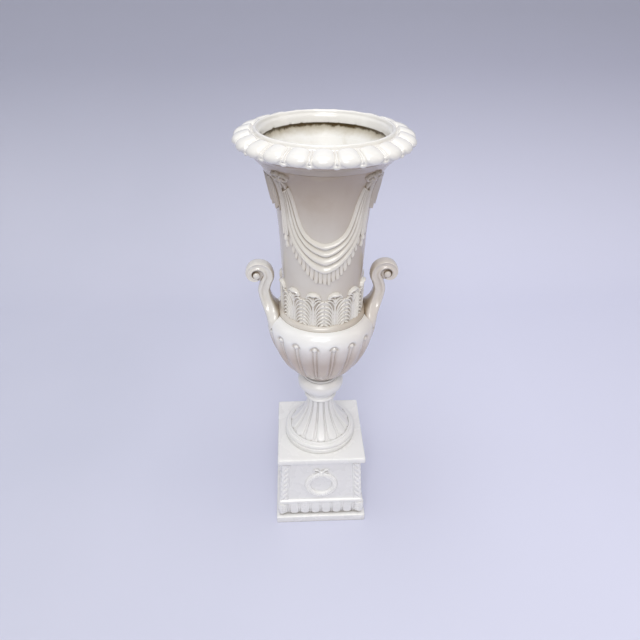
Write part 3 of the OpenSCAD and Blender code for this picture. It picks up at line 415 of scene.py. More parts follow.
def neck(material, inner):
    turns = around(240)
    outer = [(80.45, Z_NECK)]
    for a in np.radians(range(8, 97, 8)):
        outer.append((NECK_BEAD_R + NECK_BEAD * math.cos(a), Z_NECK + NECK_BEAD * math.sin(a)))
    z = np.concatenate([np.linspace(508.0, Z_FLARE, 50), np.linspace(743.0, Z_RIM, 22)])
    outer += list(zip(neck_radius(z), z))
    # Two rows close together keep the flat top crisp
    heights = np.concatenate([[Z_RIM, Z_RIM - 0.4], z[-4::-3]])
    flare = FLARE_HOLLOW_R + FLARE_HOLLOW_SLOPE * np.maximum(heights - Z_FLARE, 0.0)
    inside = list(zip(np.minimum(neck_radius(heights) - NECK_WALL, flare), heights))
    inside.append((NECK_HOLE_R, Z_NECK))
    rows = all_round(outer + inside, turns)
    rows[..., 0] += 0.35 * waver(rows, turns, 46.0, 2.0) + 0.1225 * waver(rows, turns, 17.0, 5.0)
    others = [(inner, len(outer) - 1, len(rows))]
    return ring_solid("neck_tube", "neck", rows, turns, material, others)


# Bowl: 18 gadroons, parted by grooves with a beaded reed under a round hood

GADROONS = 18
Z_BEAD, Z_LOW_BELLY = 470.0, 368.0
GROOVE_DEPTH, REED_RISE, BEAD_RISE, HOOD_DEPTH = 8.4, 5.4, 8.0, 3.0
REED_HALF, BEAD_R, HOOD_R, HOOD_HALF = 3.3, 4.9, 6.8, 1.8


def belly_radius(z):
    """Outer radius of the bowl, drawn in a little over the narrow ring that the photograph shows under it."""
    def drawn(at):
        return bowl_radius(np.maximum(at - 4.5 * ease((402.0 - at) / 40.0), Z_BOWL))
    heights = [350.0, 352.0, 357.6, 359.4, 360.0, 361.4, 363.8, Z_LOW_BELLY]
    low = through(z, heights, [32.6, 34.4, 34.3, 32.8, 35.4, 41.0, 46.8, float(drawn(Z_LOW_BELLY))])
    return np.where(z < Z_LOW_BELLY, low, drawn(z))


def bowl(material, inner):
    turns = around(GADROONS * 44)
    shares = [0.16 * np.linspace(0, 1, 40, endpoint=False) ** 1.1,
              0.16 + 0.57 * np.linspace(0, 1, 48, endpoint=False),
              0.73 + 0.27 * (1 - (1 - np.linspace(0, 1, 34)) ** 1.5)]
    z = Z_BOWL + (Z_NECK - Z_BOWL) * np.concatenate(shares)
    outline = np.stack([belly_radius(z), z], 1)
    half, s, _ = cells_round(outline, turns, GADROONS)
    scale = np.clip(outline[:, :1] / BOWL_R, 0.3, 1) ** 0.8
    arc = arc_length(outline)
    above = (arc - np.interp(Z_BEAD, z, arc))[:, None] + 0 * s
    off = np.where(above > 0, np.hypot(s, above * 0.9), s) / half
    groove = np.where(off < 0.2, 1.0, 1 - dome((1 - off) / 0.8, 2.3)) * ease((1.02 - off) / 0.15)
    groove = groove * (1.0 - 0.25 * (1 - scale)) * np.clip(1 - above / 26.0, 0, 1)
    reed = REED_RISE * scale * dome(s / (REED_HALF * scale + 0.3)) * (above < 0)
    from_bead = np.hypot(s, above - 0.5)
    bead = BEAD_RISE * dome(from_bead / BEAD_R)
    hood = HOOD_DEPTH * np.exp(-((from_bead - HOOD_R) / HOOD_HALF) ** 2) * (above > -1.5)
    h = -GROOVE_DEPTH * scale * groove + np.maximum(reed, bead) - hood
    rows = raised(outline, h * ease((z[:, None] - 360.0) / 4.0))
    calm = np.clip((z - Z_BOWL) / 20, 0, 1) * np.clip((Z_NECK - z) / 6, 0, 1)
    rows[..., 0] += 0.3 * waver(rows, turns, 28.0, 6.0) * calm[:, None]
    rows[0, :, 1], rows[-1, :, 1] = Z_BOWL, Z_NECK
    hollow = [(NECK_HOLE_R, Z_NECK), (NECK_HOLE_R, 491.5), (74.0, 484.0), (84.0, 476.0)]
    for at in (466, 455, 440, 420, 400, 385, 372, 365, 361.5):
        hollow.append((float(bowl_radius(at)) - BOWL_WALL, at))
    hollow += [(30.0, Z_FLOOR), (ROD_HOLE_R, Z_FLOOR), (ROD_HOLE_R, Z_BOWL), (18.0, Z_BOWL)]
    others = [(inner, len(rows) - 1, len(rows) + len(hollow))]
    rows = np.concatenate([rows, all_round(hollow, turns)])
    return ring_solid("bowl_gadrooned", "bowl", rows, turns, material, others)


# Foot: a trumpet of petals on a ringed base, with the knop over it

PETALS, PETAL_TIP, PETAL_RISE, PETAL_SINK, SPINE_RISE = 14, 9.0, 3.6, 3.2, 2.0
TRUMPET_R, TRUMPET_FLARE, TRUMPET_POWER = 27.0, 36.5, 2.2
FOOT_BASE = [
    (62.0, Z_FOOT, 0.6), (73.0, Z_FOOT, 0.8), (73.0, Z_FOOT + 9.0, 1.2), (70.2, Z_FOOT + 10.2, 0.8),
    (72.6, Z_FOOT + 13.0, 1.6), (72.8, Z_FOOT + 16.5, 1.8), (70.0, Z_STEP, 2.2), (66.4, Z_STEP + 0.2, 0.5),
    (65.8, Z_PETALS - 0.4, 1.0), (62.0, Z_PETALS, 0.4)]
FOOT_UPPER = [
    (27.2, Z_ASTRAGAL, 0.3), (30.6, Z_ASTRAGAL + 0.3, 1.2), (32.8, Z_ASTRAGAL + 3.4, 3.2),
    (30.0, Z_COLLAR - 0.6, 1.0), (27.4, Z_COLLAR + 0.6, 0.7), (28.2, Z_COLLAR + 7.0, 4.0),
    (29.6, Z_COLLAR + 8.2, 0.8), (33.8, Z_COLLAR + 9.2, 1.8), (33.6, Z_COLLAR + 13.0, 1.6),
    (28.8, Z_COLLAR + 15.4, 0.6), (33.0, Z_KNOP - 1.6, 1.0), (43.8, Z_KNOP + 3.2, 5.0),
    (45.6, Z_KNOP + 12.5, 6.0), (44.2, Z_KNOP + 20.0, 5.0), (36.4, Z_KNOP_RING + 0.1, 1.4),
    (32.6, Z_KNOP_RING + 0.5, 0.5), (35.2, Z_KNOP_RING + 1.6, 1.0), (34.8, Z_PACKING - 0.3, 1.2),
    (32.0, Z_PACKING, 0.8), (ROD_HOLE_R, Z_PACKING, 0.2)]
FOOT_INSIDE = [
    (ROD_HOLE_R, 255.0), (18.0, 255.0), (24.0, 246.0), (31.0, 234.0), (40.0, 221.0), (53.0, Z_PETALS),
    (62.5, 198.0), (62.5, Z_FOOT)]


def foot(material):
    turns = around(PETALS * 48)
    t = np.linspace(0, 1, 74) ** 1.25
    r = TRUMPET_R + TRUMPET_FLARE * (1 - t) ** TRUMPET_POWER
    outline = np.stack([r, Z_PETALS + t * (Z_ASTRAGAL - Z_PETALS)], 1)
    half, gap, side = cells_round(outline, turns, PETALS)
    arc = arc_length(outline)[:, None] + 0 * side
    edge = np.hypot(side / (0.77 * half), ends(arc, PETAL_TIP, PETAL_TIP))
    fade = np.clip((96 - arc) / 12, 0, 1)
    petal = (PETAL_RISE - 1.0 * np.clip(arc / 90, 0, 1)) * dome(edge, 3.0)
    hollowed = 0.55 * dome(edge / 0.55)
    spine = SPINE_RISE * dome(gap / (0.1 * half + 0.35)) * (arc > 4.5)
    h = np.maximum(petal - hollowed, spine) * fade - PETAL_SINK + 2.0 * (1 - fade)
    rows = raised(outline, h)
    rows[0, :, 1] = Z_PETALS
    base = rounded_outline(FOOT_BASE)
    base = base[(np.abs(base[:, 0] - 62.0) > 0.5) | (base[:, 1] > 200)]
    upper = rounded_outline(FOOT_UPPER, 5)
    upper = upper[upper[:, 1] > Z_ASTRAGAL + 0.02]
    base, upper, inside = (all_round(o, turns) for o in (base, upper, FOOT_INSIDE))
    rows = np.concatenate([base, rows, upper, inside])
    return ring_solid("foot_petalled", "foot", rows, turns, material)


# Handles: a flared root, a rounded strap and a volute with a button at its middle. The stem's rows are shares
# of the volute's centre and of its size, the volute's are a turn, a distance and a half thickness.

SCROLL_X, SCROLL_Z, SCROLL_R = 116.0, 572.0, 19.5
STRAP_HALF, ROOT_HALF = 12.5, 39.0
STEM = [(0.74, -0.26, 0.72, 1), (0.76, -0.06, 0.69, 0.9), (0.802, 0.1, 0.64, 0.52), (0.848, 0.28, 0.59, 0.2),
        (0.88, 0.46, 0.56, 0.05), (0.889, 0.62, 0.545, 0)]
VOLUTE = [(217, 1.11, 0.53), (198, 1.11, 0.52), (180, 1.1, 0.5), (156, 1.06, 0.475), (132, 0.985, 0.45),
          (108, 0.905, 0.42), (84, 0.825, 0.39), (58, 0.75, 0.36), (32, 0.69, 0.335), (6, 0.635, 0.31),
          (-20, 0.58, 0.28), (-46, 0.53, 0.245), (-74, 0.48, 0.21), (-104, 0.43, 0.17)]


def strap(line, channel, sides=64, square=0.66):
    """Rounded strap along rows (x, z, half thickness, half width) in the plane y = 0.
    A channel that deep at each row runs down the middle of both its sides."""
    out = outward(line[:, :2])
    a = np.arange(sides) * 2 * math.pi / sides
    c, s = np.cos(a), np.sin(a)
    c, s = np.sign(c) * np.abs(c) ** square, np.sign(s) * np.abs(s) ** square
    off = line[:, 2:3] * c
    cut = np.exp(-((c + 0.1) / 0.46) ** 4) * channel[:, None] * np.sign(s) * (np.abs(s) > 0.5)
    wide = line[:, 3:] * s - cut
    co = np.stack([line[:, :1] + out[:, :1] * off, wide, line[:, 1:2] + out[:, 1:] * off], -1)
    return co.reshape(-1, 3), capped(len(line), sides)


def domed_pin(x, z, radius, half_length, bulge, sides=48):
    """Round pin along Y with rounded, slightly domed ends."""
    end = half_length + bulge
    a = np.radians(range(12, 91, 13))
    outline = [(radius * math.sin(t), half_length + bulge * math.cos(t)) for t in a]
    ring = outline + [(r, -y) for r, y in reversed(outline)]
    a = np.arange(sides) * 2 * math.pi / sides
    co = [(x + r * math.cos(t), y, z + r * math.sin(t)) for r, y in ring for t in a]
    co += [(x, end, z), (x, -end, z)]
    n, last = len(co), (len(ring) - 1) * sides
    faces = quads(len(ring), sides, False, True).tolist()
    faces += [[n - 2, (i + 1) % sides, i] for i in range(sides)]
    faces += [[n - 1, last + i, last + (i + 1) % sides] for i in range(sides)]
    return np.array(co), faces


def body_radius(z):
    """Outer radius of the bowl, the quarter round and the neck at a height."""
    bead = NECK_BEAD_R + np.sqrt(np.clip(NECK_BEAD ** 2 - (z - Z_NECK) ** 2, 0, None))
    bead = np.where((z >= Z_NECK) & (z < Z_NECK + 8.4), bead, 0)
    return np.where(z < Z_NECK, bowl_radius(z), np.maximum(neck_radius(z), bead))


def handle(side, material):
    """Handle on that side. It is built for the right and mirrored for the left."""
    rows = [(u * SCROLL_X, Z_NECK + v * (SCROLL_Z - Z_NECK), t * SCROLL_R,
             STRAP_HALF + (ROOT_HALF - STRAP_HALF) * f) for u, v, t, f in STEM]
    for turn, d, t in VOLUTE:
        a = math.radians(turn)
        wide = STRAP_HALF * min(1, 0.86 + (turn + 134) / 900)
        rows.append((SCROLL_X + d * SCROLL_R * math.cos(a), SCROLL_Z + d * SCROLL_R * math.sin(a),
                     t * SCROLL_R, wide))
    line = spline(rows, 170)
    channel = 3.8 * np.clip((30.0 - line[:, 3]) / 14.0, 0, 1) * np.clip(line[:, 2] / 8.0, 0.35, 1)
    parts = [strap(line, channel), domed_pin(SCROLL_X - 3.5, SCROLL_Z, 12.6, 4.2, 1.0),
             domed_pin(SCROLL_X - 0.5, SCROLL_Z - 0.8, 6.2, 9.0, 3.6)]
    co, faces = np.zeros((0, 3)), []
    for points, part_faces in parts:
        faces += [[i + len(co) for i in f] for f in part_faces]
        co = np.concatenate([co, points])
    co[:, 0] += 0.5 * noise(co, 22.0, 3.0)
    # What lies inside the urn stops just under its surface
    r = np.hypot(co[:, 0], co[:, 1])
    wall = body_radius(co[:, 2])
    inside = r < wall + 0.1
    co[inside, :2] *= ((wall[inside] - 0.7) / r[inside])[:, None]
    if side == "left":
        co[:, 0] *= -1
        faces = [f[::-1] for f in faces]
    return add_piece(f"handle_scroll_{side}", co, faces, "urn", [f"handle_{side}"], material)


# Swags, fringes, tails, jabots and knots: reliefs laid on the neck. Each row of EDGES is a share of the way
# from the swag's middle to its knot, then the turn and the height of its upper edge and of its lower edge.
# A fold has its two shares down the swag and its rise, a crease its share, half width, depth and start.

KNOT_TURN, TAIL_TURN, Z_KNOT, Z_BOW = 43.0, 52.0, 767.0, 768.0
EDGES = np.array([
    [0, 0, 0, 0, 0], [0.2, 0.21, 0.03, 0.3, 0.04], [0.4, 0.45, 0.105, 0.6, 0.135],
    [0.55, 0.61, 0.215, 0.82, 0.23], [0.7, 0.72, 0.39, 0.99, 0.335], [0.85, 0.8, 0.64, 1.09, 0.52],
    [1, 0.87, 0.88, 1.07, 0.86]])
Z_SWAG_TOP, Z_SWAG_LOW = 663.0, 609.0
FOLDS = [(0.0, 0.175, 6.0), (0.225, 0.41, 6.4), (0.445, 0.70, 7.2), (0.735, 1.0, 6.6)]
FOLD_CREST = 0.62
CREASES = [(0.875, 0.016, 1.6, 0.2), (0.59, 0.014, 1.2, 0.3)]
FRINGE_TONGUES, FRINGE_REACH, FRINGE_DROP = 19, 0.78, 22.5


def swag_edge(u, column, mirrored):
    s = np.concatenate([-EDGES[:0:-1, 0], EDGES[:, 0]])
    v = np.concatenate([(-1 if mirrored else 1) * EDGES[:0:-1, column], EDGES[:, column]])
    return through(u, s, v)


def swag_place(u, f):
    """Turn from the swag's middle and height, at a share u along it and a share f down it."""
    turn = KNOT_TURN * (swag_edge(u, 1, True) * (1 - f) + swag_edge(u, 3, True) * f)
    top = Z_SWAG_TOP + (Z_KNOT - Z_SWAG_TOP) * swag_edge(u, 2, False)
    low = Z_SWAG_LOW + (Z_KNOT - Z_SWAG_LOW) * swag_edge(u, 4, False)
    return turn, top * (1 - f) + low * f


def fold(f, low, high, rise):
    """Rounded fold between two shares down the swag, that slopes gently to its crest and then tucks under."""
    x = (f - low) / (high - low)
    above = np.sin(np.clip(x / FOLD_CREST, 0, 1) * math.pi / 2) ** 0.85
    below = np.cos(np.clip((x - FOLD_CREST) / (1 - FOLD_CREST), 0, 1) * math.pi / 2) ** 0.55
    return rise * np.where(x < FOLD_CREST, above, below) * ((x > 0) & (x < 1))


def swag(side, middle, material):
    u, f = grid(-1, 1, 240, 0, 1, 110)
    s = np.abs(u)
    wander = 0.012 * noise(spots(3 * u, 0 * u), 1.0, 7.0 if side == "front" else 11.0)
    g = f + wander * np.sin(np.pi * f)
    spare = 0.009 * s
    h = 0.7 * dome((f - 0.5) / 0.5, 12.0)
    for low, high, rise in FOLDS:
        h = np.maximum(h, fold(g, low - spare * (low > 0), high + spare * (high < 1), rise))
    for at, wide, deep, start in CREASES:
        h = h - deep * np.exp(-((g - at) / wide) ** 2) * ease((s - start) / 0.3)
    h = h * (1 - 0.25 * s ** 2) * (1 + 0.06 * noise(spots(9 * u, 14 * g), 1.0, 2.0))
    turn, z = swag_place(u, f[::-1])
    sheets = on_neck(middle + turn, z, h[::-1] - 0.05)
    return ornament(f"swag_folds_{side}", [f"swag_{side}"], sheets, quads(*u.shape), material)


def swag_fringe(side, middle, material):
    """Fringe of small curled tongues that hangs from the swag's lower edge."""
    w, g = grid(-1, 1, 540, 0, 1, 40)
    turn, hem = swag_place(w * FRINGE_REACH, np.full_like(w, 0.97))
    phase = w * FRINGE_TONGUES / 2 + 0.22 * noise(spots(7 * w, 0 * w), 1.0, 3.0)
    cell = np.floor(phase + 0.5)
    off = (phase - cell) * 2
    step = np.sin(cell * 12.9898 + (0 if side == "front" else 2)) * 43758.5453
    step = step - np.floor(step)
    deep = FRINGE_DROP * (1 - 0.52 * w ** 2) * (0.8 + 0.14 * step + 0.16 * dome(off * 0.98, 2.4))
    curl = 0.5 + 0.5 * ease((0.55 - g) / 0.5)
    h = 0.4 + (3.4 + 1.3 * step) * dome(off * 1.06, 1.7) * curl
    h = h * (1 - 0.25 * w ** 2) * np.where(g < 0.04, 0.6, 1)
    sheets = on_neck(middle + turn * (1 + 0.05 * (1 - g)), hem - deep * (1 - g), h)
    nodes = [f"swag_fringe_{side}"]
    return ornament(f"swag_fringe_pleats_{side}", nodes, sheets, quads(*w.shape), material)


TAIL_LOW, TAIL_HIGH, TAIL_OUT = 662.0, 760.0, 1.5
PLEAT_AT = [-1.1, -0.75, -0.42, -0.05, 0.3, 0.7, 1.1]
PLEAT_RISE = [0.1, 1, 0.25, 0.95, 0.2, 1, 0.1]
TASSEL = [
    [(0, 663.5, 3.6, 5.2), (0, 660, 3.9, 5.6)], [(0, 657.2, 2.2, 3.4), (0, 656.2, 2.4, 3.6)],
    [(-0.4, 655.0, 1.5, 3.0), (-2.6, 646.5, 1.3, 2.6)], [(0, 655, 1.5, 3.4), (0.2, 644.6, 1.5, 3.0)],
    [(0.4, 655.0, 1.5, 3.0), (2.7, 646.8, 1.3, 2.6)]]


def tail(front, side, middle, out, material):
    """Pleated ribbon with a notched end and its tassel. out is the sign of its turn, seen from the swag."""
    x, g = grid(-1, 1, 61, 0, 1, 90)
    half = 6.6 - 2.4 * g ** 0.7
    notch = 2.6 * np.abs(np.sin(np.pi * (x * 1.5 + 0.25))) + 5.0 * np.abs(x)
    z = TAIL_LOW + notch * (1 - g) ** 2 + (TAIL_HIGH - TAIL_LOW) * g
    h = (0.9 + 2.8 * through(x + 0.05 * np.sin(g * 5), PLEAT_AT, PLEAT_RISE)) * (1 - 0.15 * g)
    turn = middle + out * (TAIL_OUT - 5.5 * g ** 2.5) + np.degrees(x * half / neck_radius(z))
    ribbon, ribbon_faces = shell(*on_neck(turn, z, h), quads(*x.shape))
    x, y = grid(-6, 6, 49, 641.5, 668, 90)
    h = relief(x, y, TASSEL)
    turn = middle + out * TAIL_OUT + np.degrees(x / neck_radius(y))
    tassel, tassel_faces = shell(*on_neck(turn, y, cut_out(h)), cells(h))
    co = np.concatenate([ribbon, tassel])
    faces = np.concatenate([ribbon_faces, tassel_faces + len(ribbon)])
    nodes = [f"tail_{front}_{side}"]
    return add_piece(f"tail_pleated_{front}_{side}", co, faces, "urn", nodes, material)


JABOT_PLEATS, JABOT_HALF_TURN, Z_JABOT_TOP, Z_HEM = 8.5, 30.0, 762.0, 715.0


def jabot(side, middle, material):
    """Gathered cloth that hangs straight down from between two knots, clear of the neck at its hem."""
    x, g = grid(-1, 1, 260, 0, 1, 80)
    down = 1 - g
    saw = ((x + 0.015 * np.sin(g * 4 + x * 5)) * JABOT_PLEATS / 2 + 0.25) % 1
    ridge = np.where(saw < 0.72, ease(saw / 0.72), ease((1 - saw) / 0.28))
    hem = Z_HEM - 12.0 * x * x + 6.0 * (1 - ridge)
    z = hem * down + (Z_JABOT_TOP - 4.0 * (1 - x * x)) * g
    wall = neck_radius(z)
    hang = (np.maximum(wall, neck_radius(758.0) - 10.6 * down ** 1.1) - wall) * (1 - x ** 4)
    h = hang + 0.6 + 3.0 * ridge * (0.55 + 0.45 * down)
    turn = middle + JABOT_HALF_TURN * x * (1 - 0.02 * down)
    sheets = on_neck(turn, z, h)[0], turned(wall + np.maximum(-0.8, h - 3.0), turn, z)
    return ornament(f"jabot_pleated_{side}", [f"jabot_{side}"], sheets, quads(*x.shape), material)


def knot(front, side, middle, material):
    """Bow of two loops and two short ends under a small ring, round a thick crossing."""
    x, y = grid(-19, 19, 115, 750, 781, 94)
    strokes = [loop(s * 8.2, 3.4, 6.4, 4.6, 2.1, 4.8, 22) for s in (-1, 1)]
    strokes += [loop(0, 7.0, 3.6, 3.6, 1.8, 5.0, 18), [(-1.2, 0, 4.2, 7.0), (1.2, 0, 4.2, 7.0)]]
    strokes += both((1.0, -3, 2.2, 5.0), (3.0, -8, 2.4, 5.0), (4.0, -15.0, 2.4, 4.4))
    strokes += both((3.0, 0.8, 2.6, 5.4), (5.0, 1.4, 2.6, 5.0))
    h = relief(x, y - Z_BOW, strokes)
    sheets = on_neck(middle + np.degrees(x / neck_radius(y)), y, cut_out(h))
    return ornament(f"knot_bow_{front}_{side}", [f"knot_{front}_{side}"], sheets, cells(h), material)


# Acanthus: twelve leaves with curled tips, whose side lobes meet in arches between them

LEAVES, LEAF_HALF, Z_LEAVES = 12, 19.9, 506.6
LOBE_TOPS = (47.8, 39.8, 31.8, 24.0, 16.4, 9.0, 1.8)


def acanthus(material):
    x, y = grid(-LEAF_HALF, LEAF_HALF, 97, -0.5, 69.0, 150)
    strokes = [[(0, 0, 2.9, 2.6), (0, 30, 2.2, 2.9), (0, 52, 1.7, 3.0)],
               [(-2.4, 60.6, 3.7, 6.9), (2.4, 60.6, 3.7, 6.9)]]
    for top in LOBE_TOPS:
        lobe = [(2.6, top - 24, 1.1, 2.0), (4.2, top - 17, 1.4, 3.0), (6.6, top - 10.5, 1.7, 3.8),
                (10.2, top - 4.4, 1.85, 4.3), (14.6, top - 1.2, 1.8, 4.3), (18.4, top - 0.3, 1.5, 3.6)]
        strokes += both(*[p for p in lobe if p[1] > -3])
    strokes += both((0.5, 38, 1.5, 3.2), (4.5, 46.0, 1.8, 4.0), (9.5, 50.2, 1.9, 4.6), (13.2, 49.2, 1.5, 3.8))
    strokes += both((0.5, 45, 1.4, 3.2), (3.6, 51.5, 1.7, 4.0), (8.0, 54.8, 1.8, 4.6), (11.8, 53.4, 1.4, 4.0))
    strokes += both((12.8, 54.2, 1.7, 4.6), (9.8, 58.4, 2.4, 5.6), (4.8, 61.0, 2.9, 6.3), (0, 61.8, 3.0, 6.6))
    arch = LOBE_TOPS[0] - 23 * ease((14 - np.abs(x)) / 12)
    ground = 0.7 * ((y < arch + 0.5) | (np.abs(x) < 1.5) & (y < 57))
    h = np.maximum(relief(x, y, strokes), ground)
    wide = x / LEAF_HALF * (180.0 / LEAVES)
    fronts, backs, faces = [], [], []
    for i in range(LEAVES):
        bend = 0.35 * noise(spots(x / 14, y / 14, 5.0 * i), 1.0, 4.0)
        turn = FRONT + 360.0 / LEAVES * (i + 0.5) + wide
        front, back = on_neck(turn, Z_LEAVES + y, cut_out(h) + bend * (h > 1.2), 0.6)
        fronts.append(front)
        backs.append(back)
        faces.append(cells(h) + i * x.size)
    sheets = np.concatenate(fronts), np.concatenate(backs)
    return ornament("acanthus_leaves", ["acanthus_frieze"], sheets, np.concatenate(faces), material)


# Pedestal: square mouldings swept round a rounded square

def square_sweep(outline, count_side, corner):
    """Rows of (x, y, z) round a square for an outline of (half side, z), with corners of that radius.
    Also, for each column, its place along its side from -1 to 1 and the angle that it faces, in radians."""
    outline = np.asarray(outline, float)
    half, z = outline[:, :1], outline[:, 1:]
    bend = np.linspace(0, 1, 6)[1:-1] * math.pi / 2
    share = np.concatenate([np.linspace(-1, 1, count_side), np.ones(len(bend))])
    bend = np.concatenate([np.zeros(count_side), bend])
    c = np.minimum(corner, half * 0.5)
    out, side = half - c + c * np.cos(bend), share * (half - c) + c * np.sin(bend)
    starts = [math.radians(FRONT + 90 * q) for q in range(4)]
    rows = [np.stack([out * math.cos(a) - side * math.sin(a), out * math.sin(a) + side * math.cos(a),
                      z + 0 * out], -1) for a in starts]
    return np.concatenate(rows, 1), np.tile(share, 4), np.concatenate([a + bend for a in starts])


def wave(rows, coarse, fine):
    """Moves the rows of a square moulding in and out a little, as slip-cast clay does."""
    n = coarse * noise(rows, 42.0, 3.0) + fine * noise(rows, 15.0, 8.0)
    rows[..., :2] += rows[..., :2] / np.linalg.norm(rows[..., :2], axis=-1, keepdims=True) * n[..., None]


def square_ring(name, node, outline, material, corner):
    """Closed square moulding from a closed outline of (half side, z)."""
    rows = square_sweep(outline, 46, corner)[0]
    wave(rows, 0.35, 0.1225)
    faces = quads(len(rows), rows.shape[1], True, True)
    return add_piece(name, rows, faces, "pedestal", [node], material)


def plinth_base(material):
    outline = rounded_outline([
        (68.0, 0.0, 0.4), (96.2, 0.0, 0.8), (96.4, 9.0, 0), (96.3, 17.2, 1.8), (92.0, Z_TONGUES, 1.0),
        (68.0, Z_TONGUES, 0.2)])
    return square_ring("plinth_base", "plinth_base_slab", outline, material, 2.2)


def plinth_dado(material):
    outline = rounded_outline([
        (79.0, Z_FILLET, 0.3), (89.6, Z_FILLET, 0.6), (90.4, Z_FILLET + 2.4, 1.6),
        (90.2, Z_FILLET + 7.4, 2.0), (86.4, Z_DADO, 1.6), (84.9, Z_DADO + 3.0, 1.4),
        (79.0, Z_NECKING, 1.2), (80.4, Z_NECKING + 1.0, 0.7), (82.8, Z_NECKING + 3.0, 1.4),
        (82.8, Z_NECKING + 6.4, 1.6), (80.2, Z_TOP_SLAB, 0.6), (70.0, Z_TOP_SLAB, 0.2),
        (70.0, Z_NECKING, 0.5), (75.0, Z_DADO + 4.0, 1.0)])
    return square_ring("plinth_dado", "plinth_dado", densify(outline, 9.0), material, 2.6)


def plinth_top(material):
    """Slab that is closed in the middle by two flat caps."""
    outline = densify(rounded_outline([
        (17.0, Z_TOP_SLAB, 0.0), (88.9, Z_TOP_SLAB, 0.9), (89.8, Z_TOP_SLAB + 2.8, 1.4),
        (89.7, Z_FOOT - 4.0, 2.2), (88.2, Z_FOOT - 0.4, 2.0), (84.0, Z_FOOT, 1.5), (17.0, Z_FOOT, 0.0)]),
        9.0, False)
    rows = square_sweep(outline, 46, 2.6)[0]
    edge = outline[:, :1] > 84
    wave(rows, 0.28 * edge, 0.1 * edge)
    faces = capped(len(rows), rows.shape[1])
    return add_piece("plinth_top", rows, faces, "pedestal", ["plinth_top_slab"], material)


TONGUES, TONGUE_PITCH, TONGUE_HALF, TONGUE_RISE, TONGUE_TIP = 6, 23.0, 9.9, 4.7, 10.8
CORNER_LEAF_HALF, CORNER_LEAF_RISE, BAND_CORNER = 15.5, 5.4, 1.6


def plinth_tongues(material):
    """Ovolo of tongues between darts, with a leaf over each corner."""
    tall = Z_FILLET - Z_TONGUES
    t = np.linspace(0, 1, 46)
    half = np.interp(t, [0, 0.2, 0.55, 0.85, 1], [84.6, 86.4, 87.2, 86.6, 85.8])
    slope = np.stack([half, Z_TONGUES + tall * t], 1)
    outline = np.concatenate([slope, [(79.0, Z_FILLET), (79.0, Z_TONGUES)]])
    rows, share, angle = square_sweep(outline, 330, BAND_CORNER)
    y = share * (slope[:, :1] - BAND_CORNER)
    up = tall * t[:, None] + 0 * y
    tongue = np.clip(np.round(y / TONGUE_PITCH - 0.5), -TONGUES / 2, TONGUES / 2 - 1) + 0.5
    side = np.abs(y - tongue * TONGUE_PITCH)
    h = TONGUE_RISE * dome(np.hypot(side / TONGUE_HALF, ends(up, TONGUE_TIP, 10.2)), 3.2)
    h = h - 1.5 * dome(np.hypot(side / 7.0, ends(up, TONGUE_TIP, 7.4)), 2.2)
    dart_half = 0.9 + 1.4 * np.clip((up - 2) / 30, 0, 1)
    dart_off = np.hypot((TONGUE_PITCH / 2 - side) / dart_half, np.clip((3.5 - up) / 3.0, 0, 1))
    h = np.maximum(h, 3.0 * dome(dart_off, 1.6) * (np.abs(y) < TONGUE_PITCH * TONGUES / 2 + 6))
    from_corner = slope[:, :1] - np.abs(y)
    leaf_half = CORNER_LEAF_HALF - 3.0 * up / tall
    leaf_off = np.hypot(from_corner / leaf_half, ends(up, 15, 15.2))
    leaf = CORNER_LEAF_RISE * dome(leaf_off, 3.0) + 1.2 * dome((from_corner - 0.4) / 3.4) * (leaf_off < 0.95)
    vein = 1.0 * dome((leaf_off - 0.78) / 0.1) * (leaf_off < 0.9)
    ripple = 0.8 * np.cos(up * 0.9 + from_corner * 0.55) * (leaf_off < 0.8) * (from_corner > 3)
    h = np.maximum(h * (from_corner > leaf_half - 1.5), (leaf - vein + ripple) * (leaf_off < 1))
    band = rows[:len(slope), :, :2]
    facing = np.stack([np.cos(angle), np.sin(angle)], -1)
    band += facing * h[..., None]
    band += facing * 0.3 * noise(rows[:len(slope)], 24.0, 5.0)[..., None]
    faces = quads(len(rows), rows.shape[1], True, True)
    nodes = ["plinth_tongue_moulding"]
    return add_piece("plinth_tongues", rows, faces, "pedestal", nodes, material)


DADO_HALF, DADO_TALL = 85.0, Z_NECKING - Z_DADO
DADO_LEAN = 6.0 / DADO_TALL


def on_panel(side_angle, x, z, h, sink=0.9):
    """Front and back sheets of a relief on a leaning face of the dado. From outside, x runs to the right."""
    a = math.radians(side_angle)
    tilt = math.hypot(1, DADO_LEAN)

    def sheet(off):
        out = DADO_HALF - DADO_LEAN * (z - Z_DADO) + off / tilt
        return np.stack([math.cos(a) * out - math.sin(a) * x, math.sin(a) * out + math.cos(a) * x,
                         z + off * DADO_LEAN / tilt], -1)
    return sheet(h), sheet(-sink + 0 * h)


WREATH_Z, WREATH_R, WREATH_HALF, WREATH_RISE, WREATH_LEAF = 107.0, 28.4, 6.5, 6.4, 9.0
BOW_OVER_RING = 8.1


